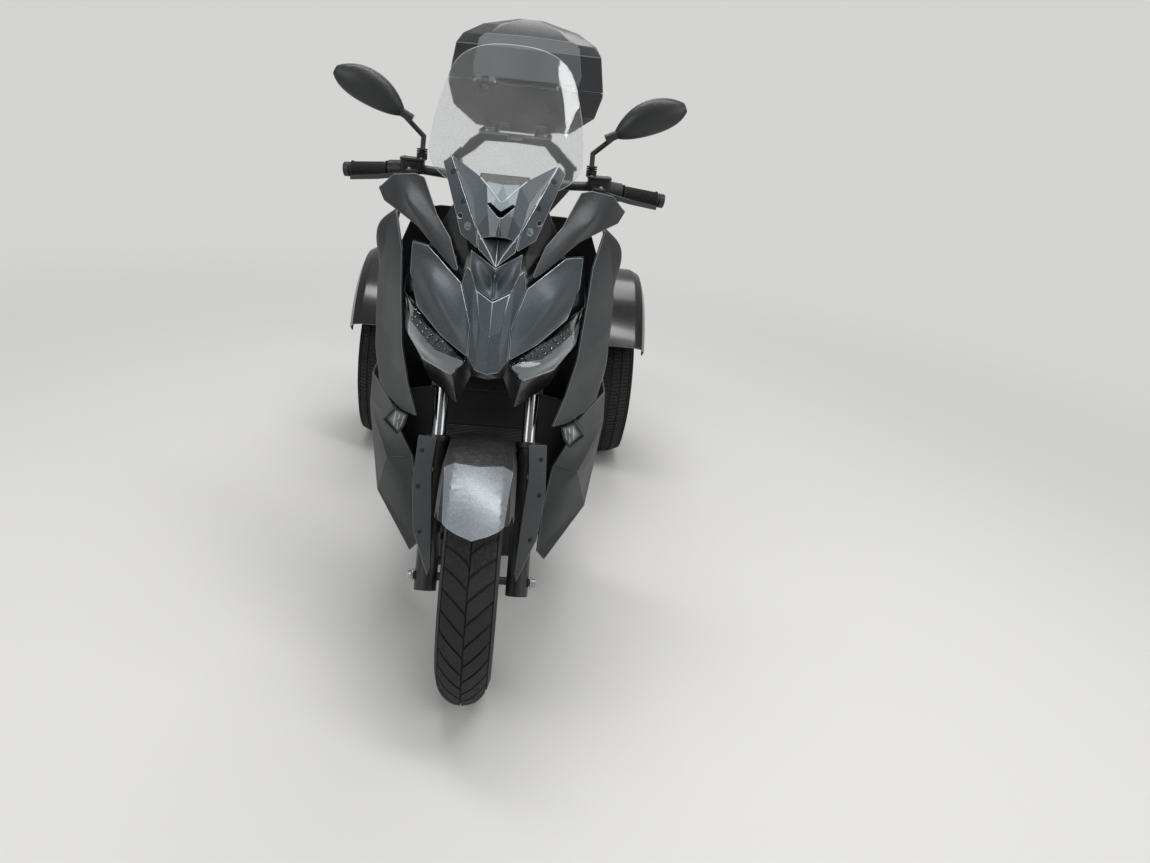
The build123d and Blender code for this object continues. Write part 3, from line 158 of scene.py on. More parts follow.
# The studio: a pale painted floor that fades into the pale room from 1.3 to 4.4 m, and soft lamps overhead
# and in front. The room is pale to the camera and in reflections, and gives a soft light otherwise.
floor_mesh = bpy.data.meshes.new("floor")
floor_mesh.from_pydata([(-60, -60, 0), (60, -60, 0), (60, 60, 0), (-60, 60, 0)], [], [(0, 1, 2, 3)])
floor = placed("floor", floor_mesh)
ROOM = "#dcdcda"
floor_paint, tree, paint_shader = fresh("pale_floor_paint")
paint_shader.inputs["Base Color"].default_value = linear("#d8d6d2")
paint_shader.inputs["Roughness"].default_value = 0.75
place = add(tree, "ShaderNodeNewGeometry")
reach = add(tree, "ShaderNodeVectorMath", {0: place.outputs["Position"]}, operation="LENGTH")
fade = ramp(tree, reach.outputs["Value"], 1.3, 4.4, interpolation_type="SMOOTHSTEP")
haze = add(tree, "ShaderNodeEmission", {"Color": linear(ROOM), "Strength": 0.92})
blend = add(tree, "ShaderNodeMixShader", {0: fade, 1: paint_shader.outputs[0], 2: haze.outputs[0]})
tree.links.new(blend.outputs[0], tree.nodes["Material Output"].inputs["Surface"])
floor_mesh.materials.append(floor_paint)

world = bpy.data.worlds.new("soft_studio")
bpy.context.scene.world = world
world.use_nodes = True
tree = world.node_tree
tree.nodes.clear()
ray = add(tree, "ShaderNodeLightPath")
seen = figure(tree, "MAXIMUM", ray.outputs["Is Camera Ray"], ray.outputs["Is Transmission Ray"])
soft = add(tree, "ShaderNodeBackground", {"Color": linear("#e9ecef"), "Strength": 0.62})
shiny = add(tree, "ShaderNodeBackground", {"Color": linear(ROOM), "Strength": 0.5})
pale = add(tree, "ShaderNodeBackground", {"Color": linear(ROOM), "Strength": 0.92})
room = add(
    tree, "ShaderNodeMixShader",
    {0: ray.outputs["Is Glossy Ray"], 1: soft.outputs[0], 2: shiny.outputs[0]},
)
room = add(tree, "ShaderNodeMixShader", {0: seen, 1: room.outputs[0], 2: pale.outputs[0]})
add(tree, "ShaderNodeOutputWorld", {0: room.outputs[0]})

# Lamp, place, what it points at, width, length, power
for name, spot, target, wide, long, watts in (
    ("overhead_strip", (0.15, -0.6, 3.6), (0.0, -0.5, 0.6), 0.6, 3.4, 62),
    ("rear_overhead", (0.3, 2.4, 3.6), (0, 0.6, 0.7), 2.0, 2.0, 44),
    ("front_left", (-2.8, -3.4, 2.6), (0, -0.6, 0.6), 2.0, 2.0, 34),
    ("front_right", (3.0, -2.6, 2.2), (0, -0.5, 0.6), 1.8, 1.8, 28),
):
    lamp = bpy.data.lights.new(name, "AREA")
    lamp.shape = "RECTANGLE"
    lamp.size, lamp.size_y = wide, long
    lamp.energy = watts
    holder = placed(name, lamp)
    holder.location = spot
    holder.rotation_euler = (Vector(target) - Vector(spot)).to_track_quat("-Z", "Y").to_euler()


# The frame is welded from round steel tube and enamelled black, with the steering head at its front. The
# enamel is smooth, slightly wavy, and dusty where it faces up.
def raise_skin(tree, height, strength, relief_mm):
    """A finish's fine relief."""
    relief = add(
        tree, "ShaderNodeBump", {"Height": height, "Strength": strength, "Distance": relief_mm / 1000},
    )
    tree.links.new(relief.outputs[0], tree.nodes["Principled BSDF"].inputs["Normal"])


def surface(
    name, colour, rough, metal=0.0, coat=0.0, grain_mm=0.0, relief_mm=0.0, mottled=0.1, flake_mm=0.0,
    dust=0.0,
):
    """A finish: its colour in slow clouds, and any flakes, fine grain and settled dust."""
    material, tree, shader = fresh(name)
    shader.inputs["Metallic"].default_value = metal
    shader.inputs["Coat Weight"].default_value = coat
    shader.inputs["Coat Roughness"].default_value = 0.12
    where = own_place(tree)
    cloud = noise(tree, where, 7.0, 5.0)
    shift = ramp(tree, cloud, 0.3, 0.7, 1 - mottled, 1 + mottled)
    if flake_mm:
        flake = add(tree, "ShaderNodeTexVoronoi", {"Vector": where, "Scale": 1000 / flake_mm})
        sparkle = add(tree, "ShaderNodeSeparateColor", {0: flake.outputs["Color"]}).outputs[0]
        shift = figure(tree, "MULTIPLY", shift, ramp(tree, sparkle, 0, 1, 0.78, 1.3))
    tone = add(
        tree, "ShaderNodeVectorMath", {0: linear(colour)[:3], "Scale": shift}, operation="SCALE",
    ).outputs[0]
    if dust:
        facing = add(
            tree, "ShaderNodeSeparateXYZ", {0: add(tree, "ShaderNodeNewGeometry").outputs["Normal"]},
        ).outputs[2]
        specks = ramp(tree, noise(tree, where, 160.0, 7.0), 0.4, 0.75)
        amount = figure(tree, "MULTIPLY", ramp(tree, facing, 0.2, 1.0, 0.0, dust), specks)
        tone = add(
            tree, "ShaderNodeMix", {0: amount, 6: tone, 7: linear("#77746f")}, data_type="RGBA",
        ).outputs[2]
    tree.links.new(tone, shader.inputs["Base Color"])
    gloss = ramp(tree, cloud, 0.3, 0.7, rough * 0.85, min(1.0, rough * 1.18))
    tree.links.new(gloss, shader.inputs["Roughness"])
    if grain_mm:
        raise_skin(tree, noise(tree, where, 1000 / grain_mm, 2.0), 0.6, relief_mm)
    return material


def dress(node, material):
    """A CAD solid keeps its shape and takes this finish."""
    mesh = bpy.data.objects[node].data
    mesh.materials.clear()
    mesh.materials.append(material)


enamel = surface("black_enamelled_steel", "#17181a", 0.38, grain_mm=14, relief_mm=0.25, dust=0.35)
dress("frame", enamel)


# Front wheel: a cross-ply scooter tyre with curved chevron grooves, on a black painted cast rim, and a
# drilled steel brake disc. The groove walls stand on a casing that ends one groove's depth lower.
def at(x, y, z):
    """A point given in millimetres, with its station counted from the front axle."""
    return Vector((x / 1000, (y - AXLE_STATION) / 1000, z / 1000))


def fit(name, mesh, body, stands_for=()):
    """A finished mesh becomes a piece that rides on a body and stands for the named CAD solids."""
    piece = placed(name, mesh)
    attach(piece, body)
    if stands_for:
        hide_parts(*stands_for)
    return piece


def meshed(shape, name, *materials, sharp=0):
    """A bmesh's finished mesh in its materials, smooth but for edges sharper than an angle."""
    mesh = bpy.data.meshes.new(name)
    shape.to_mesh(mesh)
    shape.free()
    for material in materials:
        mesh.materials.append(material)
    if sharp:
        mesh.shade_smooth()
        mesh.set_sharp_from_angle(angle=math.radians(sharp))
    return mesh


def around(count, start=0.0):
    """Evenly spaced angles of a full turn."""
    return [2 * math.pi * (k + start) / count for k in range(count)]


def spoke(across_mm, radius_mm, angle):
    """The way from a wheel's centre to a point across and out from it."""
    return Vector((across_mm, radius_mm * math.cos(angle), radius_mm * math.sin(angle))) / 1000


def hooped(rings):
    """A closed skin over rings of points. The last ring joins the first."""
    shape = bmesh.new()
    rows = [[shape.verts.new(point) for point in ring] for ring in rings]
    for near, far in zip(rows[-1:] + rows, rows):
        for i in range(len(near)):
            shape.faces.new((near[i - 1], near[i], far[i], far[i - 1]))
    bmesh.ops.recalc_face_normals(shape, faces=shape.faces)
    return shape


def turned(name, profile, centre, steps, material):
    """A closed run of (across, radius) points in millimetres, turned about the axle through a centre."""
    shape = hooped([[centre + spoke(x, r, angle) for x, r in profile] for angle in around(steps)])
    return meshed(shape, name, material, sharp=35)


def new_tree(name, **sizes):
    """A geometry tree with a mesh input and named size inputs."""
    tree = bpy.data.node_groups.new(name, "GeometryNodeTree")
    tree.interface.new_socket("Geometry", in_out="INPUT", socket_type="NodeSocketGeometry")
    for label, value in sizes.items():
        kind = "NodeSocketInt" if isinstance(value, int) else "NodeSocketFloat"
        tree.interface.new_socket(label, in_out="INPUT", socket_type=kind).default_value = value
    tree.interface.new_socket("Geometry", in_out="OUTPUT", socket_type="NodeSocketGeometry")
    return tree, tree.nodes.new("NodeGroupInput").outputs


def end_tree(tree, geometry, material):
    """The tree's end: real geometry in one material."""
    real = add(tree, "GeometryNodeRealizeInstances", {0: geometry})
    skinned = add(tree, "GeometryNodeSetMaterial", {"Geometry": real.outputs[0], "Material": material})
    add(tree, "NodeGroupOutput", {0: skinned.outputs[0]})


def settled(draft, name, material=None):
    """The plain mesh that a draft object's modifiers make of it. The draft goes."""
    mesh = bpy.data.meshes.new_from_object(draft.evaluated_get(bpy.context.evaluated_depsgraph_get()))
    mesh.name = name
    bpy.data.objects.remove(draft)
    if material:
        mesh.materials.clear()
        mesh.materials.append(material)
    return mesh


def grown(name, tree, start, **sizes):
    """The plain mesh that a tree makes of a starting mesh, at these sizes."""
    seedling = placed(name, start)
    growth = seedling.modifiers.new("growth", "NODES")
    growth.node_group = tree
    for socket in tree.interface.items_tree:
        if socket.in_out == "INPUT" and socket.name in sizes:
            growth[socket.identifier] = sizes[socket.name]
    return settled(seedling, name)


# Tread depth, the crown's radius and the wheel's, in millimetres
GROOVE = 4.5
CROWN = 57.4
FRONT_RADIUS = 274.0


def tread_blocks(name, outlines):
    """Flat tread blocks of one pitch: (across, along) outlines in millimetres, a groove's depth thick."""
    shape = bmesh.new()
    for outline in outlines:
        top = [shape.verts.new((u / 1000, s / 1000, 0)) for u, s in outline]
        foot = [shape.verts.new((u / 1000, s / 1000, -GROOVE / 1000)) for u, s in outline]
        shape.faces.new(top)
        for i in range(len(outline)):
            shape.faces.new((foot[i - 1], foot[i], top[i], top[i - 1]))
    bmesh.ops.recalc_face_normals(shape, faces=shape.faces)
    return meshed(shape, name)


def strip_block(near, far, width, slant, bend, steps=6):
    """Outline of a block that runs from one distance across to another while it slants along the tread."""
    run = []
    for k in range(steps + 1):
        t = k / steps
        run.append((near + (far - near) * t, slant * (t + bend * t * (1 - t))))
    return run + [(u, s + width) for u, s in reversed(run)]


# One pitch of blocks is repeated round the wheel, then bent over the crown: across becomes the crown's arc,
# along becomes the turn of the wheel, and depth is taken from the crown's radius.
wrap, given = new_tree("tread_round_the_wheel", Pitches=36, Pitch=0.0478, Crown=0.0574, Radius=0.274)
pitch_line = add(
    wrap, "GeometryNodeMeshLine", {"Count": given["Pitches"], "Offset": triple(wrap, 0, given["Pitch"])},
    mode="OFFSET",
)
ring = add(
    wrap, "GeometryNodeInstanceOnPoints",
    {"Points": pitch_line.outputs[0], "Instance": given["Geometry"]},
)
ring = add(wrap, "GeometryNodeRealizeInstances", {0: ring.outputs[0]})
flat = add(wrap, "ShaderNodeSeparateXYZ", {0: add(wrap, "GeometryNodeInputPosition").outputs[0]}).outputs
tilt = figure(wrap, "DIVIDE", flat[0], given["Crown"])
high = figure(wrap, "ADD", given["Crown"], flat[2])
side = figure(wrap, "MULTIPLY", high, figure(wrap, "SINE", tilt))
rise = figure(wrap, "MULTIPLY", high, figure(wrap, "COSINE", tilt))
base = figure(wrap, "SUBTRACT", given["Radius"], given["Crown"])
reach = figure(wrap, "ADD", base, rise)
whole = figure(wrap, "MULTIPLY", given["Pitches"], given["Pitch"])
turn = figure(wrap, "MULTIPLY", figure(wrap, "DIVIDE", flat[1], whole), 2 * math.pi)
fore = figure(wrap, "MULTIPLY", reach, figure(wrap, "COSINE", turn))
tall = figure(wrap, "MULTIPLY", reach, figure(wrap, "SINE", turn))
bent = add(
    wrap, "GeometryNodeSetPosition",
    {"Geometry": ring.outputs[0], "Position": triple(wrap, side, fore, tall)},
)
# Tyre rubber is dull black with worn, dusty block tops and a slightly rough moulded skin.
tyre_rubber = surface(
    "vulcanised_tyre_rubber", "#1b1b1b", 0.78, grain_mm=2.5, relief_mm=0.2, mottled=0.25, dust=0.25,
)
end_tree(wrap, bent.outputs[0], tyre_rubber)


def joined(name, meshes, shift=Vector((0, 0, 0))):
    """Several meshes as one, the later ones moved by a shift."""
    whole = bmesh.new()
    for k, mesh in enumerate(meshes):
        before = len(whole.verts)
        whole.from_mesh(mesh)
        whole.verts.ensure_lookup_table()
        if k:
            for vert in whole.verts[before:]:
                vert.co += shift
    result = meshed(whole, name)
    for material in meshes[0].materials:
        result.materials.append(material)
    return result


def casing(name, radius, crown, half, shoulder_deg, belly, bead, centre):
    """Tyre casing below its tread: lowered crown, stepped shoulders, ribbed sidewalls and the inside."""
    shoulder = math.radians(shoulder_deg)
    lowered = []
    for k in range(-8, 9):
        angle = shoulder * k / 8
        lowered.append(
            ((crown - GROOVE) * math.sin(angle), radius - crown + (crown - GROOVE) * math.cos(angle))
        )
    edge = (crown * math.sin(shoulder), radius - crown + crown * math.cos(shoulder))
    wall = [
        edge, (half, belly[0]), (half - 1.5, belly[0] - 3), (half - 0.4, belly[0] - 6),
        (belly[1], belly[2]), bead,
    ]
    inner = [(bead[0] - 6, bead[1] + 2), (half - 9, belly[0]), (edge[0] * 0.85, edge[1] - 10)]
    profile = [(-x, r) for x, r in wall[::-1]] + lowered + wall + inner
    profile += [(0, radius - 10)] + [(-x, r) for x, r in inner[::-1]]
    return turned(name, profile, centre, 96, tyre_rubber)


front_centre = at(0, 0, FRONT_RADIUS)
chevron = strip_block(1.6, 62, 40, -44, 0.5)
mirrored = [(-u, s + 24) for u, s in chevron[::-1]]
front_blocks = grown("front_tread", wrap, tread_blocks("front_pitch", [chevron, mirrored]))
front_casing = casing(
    "front_casing", FRONT_RADIUS, CROWN, 60, 68, (215, 54, 203), (44, 190.5), front_centre,
)
fit(
    "front_tyre_dressed", joined("front_tyre_dressed", [front_casing, front_blocks], front_centre),
    "front_wheel", ["front_tyre"],
)


# The front rim is cast aluminium in satin black enamel, with five pairs of spokes. Its edges are rounded by
# the casting mould and painted lighter grey as a painted highlight. A rubber valve stands in the well, and
# a dust seal closes the hub opposite the disc.
def eased(node, width_mm, *finishes, crease=30, edge_finish=None, sharp=18):
    """Copy of a CAD solid with its sharp edges rounded, so that they catch the light, and its body. A
    highlight finish paints the rounded faces lighter: a painted highlight.
    """
    shape = bmesh.new()
    shape.from_mesh(bpy.data.objects[node].data)
    bmesh.ops.remove_doubles(shape, verts=shape.verts, dist=1e-5)
    bmesh.ops.dissolve_limit(shape, angle_limit=math.radians(0.4), verts=shape.verts, edges=shape.edges)
    rough = meshed(shape, node + "_rough")
    for material in finishes:
        rough.materials.append(material)
    if edge_finish:
        rough.materials.append(edge_finish)
    rough.shade_smooth()
    rough.set_sharp_from_angle(angle=math.radians(sharp))
    draft = placed(node + "_rough", rough)
    rounding = draft.modifiers.new("rounding", "BEVEL")
    rounding.width = width_mm / 1000
    rounding.segments = 2
    rounding.limit_method = "ANGLE"
    rounding.angle_limit = math.radians(crease)
    rounding.use_clamp_overlap = False
    # The rounded faces take the lighter highlight finish, a painted highlight.
    rounding.material = len(finishes) if edge_finish else -1
    even = draft.modifiers.new("even", "WEIGHTED_NORMAL")
    even.keep_sharp = True
    return settled(draft, node + "_dressed"), body_of(bpy.data.objects[node])[0]


def paint_where(mesh, index, test):
    """The faces that pass a test on their middle and normal take the mesh's material of that number."""
    for face in mesh.polygons:
        if test(face.center, face.normal):
            face.material_index = index


def refaced(node, width_mm, slot, *finishes, paint=None, **how):
    """A CAD solid's eased copy as a piece that stands for it, painted by number where tests say so."""
    mesh, body = eased(node, width_mm, *finishes, **how)
    for index, test in (paint or {}).items():
        paint_where(mesh, index, test)
    return fit(node + "_dressed", mesh, body, [node])


wheel_enamel = surface(
    "satin_black_wheel_enamel", "#1d1e20", 0.36, coat=0.25, grain_mm=9, relief_mm=0.12, dust=0.3,
)
# Painted highlight: the rims' rounded edges are painted a lighter grey.
wheel_highlight = surface("thin_enamel_on_cast_edges", "#3a3c3f", 0.3, metal=0.4)
refaced("front_rim", 1.2, "cast_rim", wheel_enamel, edge_finish=wheel_highlight)

# Screws, nuts and plugs throughout: cold-formed steel heads with a chamfered rim, a washer under them and a
# hexagon socket, zinc plated or blackened. Each stands on its spot and looks out along its aim.
zinc = surface("blackened_screw_steel", "#4a4b4d", 0.35, metal=0.9, mottled=0.2)
bright_steel = surface("bright_zinc_plated_steel", "#a4a6a8", 0.3, metal=1.0, mottled=0.15)


def along_aims(tree, instance, axis="Z"):
    """Copies on a tree's points, each with this axis along the point's aim."""
    aim = add(
        tree, "GeometryNodeInputNamedAttribute", {"Name": "aim"}, data_type="FLOAT_VECTOR",
    ).outputs[0]
    facing = add(tree, "FunctionNodeAlignRotationToVector", {"Vector": aim}, axis=axis).outputs[0]
    points = tree.nodes["Group Input"].outputs["Geometry"]
    links = {"Points": points, "Instance": instance, "Rotation": facing}
    return add(tree, "GeometryNodeInstanceOnPoints", links).outputs[0]


screw_trees = {}
for screw_finish in (zinc, bright_steel):
    screws, given = new_tree("screws_in_" + screw_finish.name, Head=0.006, Height=0.004)
    head = add(
        screws, "GeometryNodeMeshCone",
        {
            "Vertices": 18, "Radius Top": figure(screws, "MULTIPLY", given["Head"], 0.84),
            "Radius Bottom": given["Head"], "Depth": given["Height"],
        },
    )
    socket = add(
        screws, "GeometryNodeMeshCylinder",
        {
            "Vertices": 6, "Radius": figure(screws, "MULTIPLY", given["Head"], 0.5),
            "Depth": given["Height"],
        },
    )
    half = figure(screws, "MULTIPLY", given["Height"], 0.4)
    most = figure(screws, "MULTIPLY", given["Height"], 1.4)
    sunk = add(
        screws, "GeometryNodeTransform",
        {"Geometry": socket.outputs[0], "Translation": triple(screws, z=most)},
    )
    raised = add(
        screws, "GeometryNodeTransform",
        {"Geometry": head.outputs[0], "Translation": triple(screws, z=half)},
    )
    cut = add(
        screws, "GeometryNodeMeshBoolean", {0: raised.outputs[0], 1: sunk.outputs[0]},
        operation="DIFFERENCE",
    )
    washer = add(
        screws, "GeometryNodeMeshCylinder",
        {"Vertices": 24, "Radius": figure(screws, "MULTIPLY", given["Head"], 1.35), "Depth": 0.0014},
    )
    whole = add(screws, "GeometryNodeJoinGeometry")
    for part in (cut, washer):
        screws.links.new(part.outputs[0], whole.inputs[0])
    end_tree(screws, along_aims(screws, whole.outputs[0]), screw_finish)
    screw_trees[screw_finish] = screws


def spots(name, places):
    """A mesh of lone points with the direction that each one looks in."""
    mesh = bpy.data.meshes.new(name)
    mesh.from_pydata([tuple(p) for p, _ in places], [], [])
    aims = mesh.attributes.new("aim", "FLOAT_VECTOR", "POINT")
    for item, (_, aim) in zip(aims.data, places):
        item.vector = aim
    return mesh


def sown(name, tree, places, body, slot, **sizes):
    """A tree's copies on these (place, aim) spots, as one piece on a body."""
    return fit(name, grown(name, tree, spots(name + "_spots", places), **sizes), body)


def fasten(name, body, places, head_mm, height_mm, finish=zinc):
    """Screws on these (place, aim) spots, as one piece on a body."""
    slot = "steel" if finish is bright_steel else "black_steel"
    return sown(
        name, screw_trees[finish], places, body, slot, Head=head_mm / 1000, Height=height_mm / 1000,
    )


def round_axle(centre, radius_mm, across_mm, out):
    """Five spots in a ring about an axle, looking along it."""
    return [
        (centre + spoke(across_mm, radius_mm, angle), Vector((out, 0, 0)))
        for angle in around(5, 0.5)
    ]


seal = surface("moulded_seal_rubber", "#101010", 0.6, grain_mm=1.5, relief_mm=0.05)
cap = [(47.6, 13), (47.6, 31), (49.0, 32.5), (50.6, 32.5), (51.6, 30), (50.4, 18), (51.0, 14)]
fit("front_hub_seal", turned("front_hub_seal", cap, front_centre, 48, seal), "front_wheel")


def standing(radius_mm, height_mm, angle):
    """The way to a point out from an upright axis and up along it."""
    return Vector((radius_mm * math.cos(angle), radius_mm * math.sin(angle), height_mm)) / 1000


def stem(name, centre, across_mm):
    """Rubber tyre valve with its cap, which points at the hub."""
    profile = [
        (0.05, 140), (3.6, 140), (4.0, 141), (4.0, 149), (3.0, 150), (3.2, 158), (5.2, 168), (0.05, 168),
    ]
    foot = centre + Vector((across_mm / 1000, 0, 0))
    shape = hooped([[foot + standing(r, z, angle) for r, z in profile] for angle in around(16)])
    bmesh.ops.remove_doubles(shape, verts=shape.verts, dist=2e-5)
    bmesh.ops.recalc_face_normals(shape, faces=shape.faces)
    return meshed(shape, name, seal, sharp=40)


fit("front_valve", stem("front_valve", front_centre, 18), "front_wheel")


# Brake discs are stamped stainless steel, drilled through their band and ground, so that fine rings run
# round them. Holes go right through, and five button screws hold the front disc's carrier.
def ground_steel(name, centre):
    """Ground steel whose fine rings follow the wheel about its own axle."""
    material = surface(name, "#8e9092", 0.3, metal=1.0, mottled=0.1)
    tree = material.node_tree
    own = add(
        tree, "ShaderNodeMapping", {"Vector": own_place(tree), "Location": tuple(-c for c in centre)},
    )
    flat = add(tree, "ShaderNodeVectorMath", {0: own.outputs[0], 1: (0, 1, 1)}, operation="MULTIPLY")
    out = add(tree, "ShaderNodeVectorMath", {0: flat.outputs[0]}, operation="LENGTH").outputs["Value"]
    # Grinding rings are finer than a pixel and are drawn 2 mm apart
    rings = add(
        tree, "ShaderNodeTexNoise", {"W": out, "Scale": 500.0, "Detail": 2.0}, noise_dimensions="1D",
    ).outputs[0]
    raise_skin(tree, rings, 0.35, 0.3)
    return material


def drilled(node, centre, across_mm, thick_mm, rows, finish, body):
    """A CAD disc with holes drilled through it: rows of (radius, count, start, hole) about the axle."""
    pins = bmesh.new()
    for radius, count, start, hole in rows:
        for angle in around(count, start):
            spot = centre + spoke(across_mm, radius, angle)
            turn = Matrix.Translation(spot) @ Matrix.Rotation(math.pi / 2, 4, "Y")
            bmesh.ops.create_cone(
                pins, cap_ends=True, segments=10, radius1=hole / 2000, radius2=hole / 2000,
                depth=thick_mm * 3 / 1000, matrix=turn,
            )
    cutter = placed(node + "_drill", meshed(pins, node + "_drill"))
    blank = placed(node + "_blank", eased(node, 0.5, finish, crease=50)[0])
    drill = blank.modifiers.new("drill", "BOOLEAN")
    drill.operation = "DIFFERENCE"
    drill.solver = "EXACT"
    drill.object = cutter
    mesh = settled(blank, node)
    bpy.data.objects.remove(cutter)
    return fit(node + "_dressed", mesh, body, [node])


front_ground = ground_steel("ground_stainless_front_disc", front_centre)
drilled(
    "front_disc", front_centre, -56, 4.5, [(106, 20, 0, 7), (116, 20, 0.33, 7), (126, 20, 0.66, 6)],
    front_ground, "front_wheel",
)
fasten("front_disc_screws", "front_wheel", round_axle(front_centre, 32, -58.2, -1), 5.5, 3, bright_steel)

# Rear wheels: radial car-type tyres with four rows of tread blocks between straight grooves, on black cast
# rims with five wheel nuts round a plain cap. Their drilled discs stand inboard.
SIDES = (("left", 1), ("right", -1))
REAR_RADIUS = 286.0
REAR_CROWN = 140.0
REAR_TRACK = 808.0
REAR_STATION = 1540.0
rear_pitch = []
for near, far, slip in ((-62, -40, 5), (-34, -6, 0), (0, 26, 8), (32, 61, 3)):
    bar_outline = strip_block(near, far, 10.6, 5 if near % 4 else -5, 0, 2)
    for lift in (0, 13.1):
        rear_pitch.append([(u, s + slip + lift) for u, s in bar_outline])
rear_pitch = [outline if outline[0][0] < outline[2][0] else outline[::-1] for outline in rear_pitch]
# An outer ring of narrow shoulder lugs, as seen on the sidewall's edge
for lift in (0, 8.7, 17.4):
    rear_pitch.append([(-70, lift), (-65, lift), (-65, lift + 5.6), (-70, lift + 5.6)])
    rear_pitch.append([(64, lift), (70, lift), (70, lift + 5.6), (64, lift + 5.6)])
rear_blocks = grown(
    "rear_tread", wrap, tread_blocks("rear_pitch", rear_pitch), Pitches=68,
    Pitch=2 * math.pi * 0.286 / 68, Crown=REAR_CROWN / 1000, Radius=REAR_RADIUS / 1000,
)
for side_name, side in SIDES:
    centre = at(side * REAR_TRACK / 2, REAR_STATION, REAR_RADIUS)
    body = "rear_wheel_" + side_name
    rear_casing = casing(
        "rear_casing_" + side_name, REAR_RADIUS, REAR_CROWN, 77.5, 30, (232, 72, 214), (62, 165.1),
        centre,
    )
    fit(
        f"rear_tyre_{side_name}_dressed",
        joined("rear_tyre_" + side_name, [rear_casing, rear_blocks], centre), body,
        ["rear_tyre_" + side_name],
    )
    refaced("rear_rim_" + side_name, 1.5, "cast_rim", wheel_enamel, edge_finish=wheel_highlight)
    fasten(f"wheel_nuts_{side_name}", body, round_axle(centre, 44, side * 34.2, side), 9, 9, bright_steel)
    cap = [(43.8, 0.5), (43.8, 25.5), (46, 27), (48.5, 24), (49.4, 14), (49.4, 0.5)]
    fit(
        "hub_cap_" + side_name,
        turned("hub_cap_" + side_name, [(side * x, r) for x, r in cap], centre, 40, seal), body,
    )
    fit(
        "rear_valve_" + side_name,
        stem("rear_valve_" + side_name, centre - Vector((0, 0, 0.027)), side * 12), body,
    )
    rear_ground = ground_steel("ground_stainless_rear_disc_" + side_name, centre)
    drilled(
        "rear_disc_" + side_name, centre, -side * 22, 8, [(95, 18, 0, 7), (107, 18, 0.5, 7)], rear_ground,
        body,
    )


# The fork is a telescopic pair: black enamelled sliders, hard chromed stanchions, a forged lower bridge and
# a cast caliper. Two long matt plastic guards are screwed on in front of the sliders.
STEER_FOOT = Vector((0, -0.822387, 0.257491))
STEER_UP = Vector((0, 0.446198, 0.894934))
STEER_BACK = Vector((0, 0.894934, -0.446198))


def steered(x, y, z):
    """A point in millimetres from the steering axis's foot: across, back from the axis, and up along it."""
    return STEER_FOOT + Vector((x, 0, 0)) / 1000 + STEER_BACK * (y / 1000) + STEER_UP * (z / 1000)


fork_enamel = surface(
    "black_enamelled_fork_casting", "#1a1b1d", 0.42, coat=0.15, grain_mm=6, relief_mm=0.12, dust=0.25,
)
chrome = surface("hard_chromed_stanchion", "#8f9193", 0.16, metal=1.0, mottled=0.05)
caliper_grey = surface(
    "sand_cast_caliper_aluminium", "#5a5c5e", 0.5, metal=0.8, grain_mm=1.6, relief_mm=0.12,
)


def along_stem(point):
    """Height along the steering axis, in millimetres."""
    return (point - STEER_FOOT).dot(STEER_UP) * 1000


def on_tubes(point, normal):
    """Whether a point of the fork lies on its two bright tubes."""
    return 314.5 < along_stem(point) < 424.5 and 60 < abs(point.x) * 1000 < 125


def on_caliper(point, normal):
    """Whether a point of the fork lies on the caliper behind its right slider."""
    behind = (point - STEER_FOOT).dot(STEER_BACK) * 1000
    return -84 < point.x * 1000 < -36 and along_stem(point) < 110 and behind > 46


fork_paint = {1: on_tubes, 2: on_caliper}
refaced("fork", 1.0, "black_steel", fork_enamel, chrome, caliper_grey, crease=40, paint=fork_paint)
fasten(
    "axle_nut", "steering", [(steered(s * 131, -37, 0), Vector((s, 0, 0))) for s in (-1, 1)], 10, 8,
    bright_steel,
)
fasten(
    "caliper_bolts", "steering",
    [(steered(-82, 77 + k * 20, 34 + k * 40), Vector((-1, 0, 0))) for k in (-0.3, 1)], 6, 5, bright_steel,
)

guard_plastic = surface(
    "matt_grey_guard_plastic", "#45484b", 0.55, grain_mm=1.6, relief_mm=0.12, mottled=0.14, dust=0.2,
)
# Painted highlight: the guards' rounded edges are painted a lighter grey.
grey_guard_highlight = surface("guard_plastic_edges", "#6f7376", 0.45)
refaced("fork_covers", 0.9, "panel_dark", guard_plastic, edge_finish=grey_guard_highlight)
cover_screws = []
for side in (-1, 1):
    for x, z in ((132, 276), (134, 196), (122, 96)):
        cover_screws.append((steered(side * x, -71.5, z), -STEER_BACK))
fasten("cover_screws", "steering", cover_screws, 4.2, 3.4)

# The front fender is injection moulded: a crown in silver metallic lacquer, set into a black guard whose
# grained skin wraps the tyre. The lacquer's flakes sparkle, and the crown's rims are painted pale silver as
# a painted highlight.
silver = surface(
    "silver_metallic_lacquer", "#83898e", 0.42, metal=0.5, coat=0.12, mottled=0.06, flake_mm=1.2,
)
silver_highlight = surface("silver_lacquer_edges", "#c4c9cc", 0.25, metal=0.7)
refaced("front_fender", 1.0, "panel_silver", silver, edge_finish=silver_highlight)
guard_black = surface(
    "black_grained_polypropylene", "#16171a", 0.5, grain_mm=1.4, relief_mm=0.16, dust=0.3,
)
# Painted highlight: the rims of the black plastic parts are painted a lighter grey.
black_plastic_highlight = surface("black_plastic_edges", "#3a3d41", 0.4)
refaced("fender_frame", 0.9, "black_plastic", guard_black, edge_finish=black_plastic_highlight)


# The bar is bent steel tube, enamelled black, on a round riser. Its grips are moulded rubber with fine ribs
# and an end weight of black steel; the switch housings carry a forged lever and a fluid reservoir.
def bar(x, y, z):
    """A point in millimetres from the bar's root on the steering stem."""
    return at(x, 434.69 + y, 1062.93 + z)


def bar_end(side):
    """Where the bar's straight end on one side starts and stops."""
    return bar(side * 200, 38, 34), bar(side * 386, 64, 14)


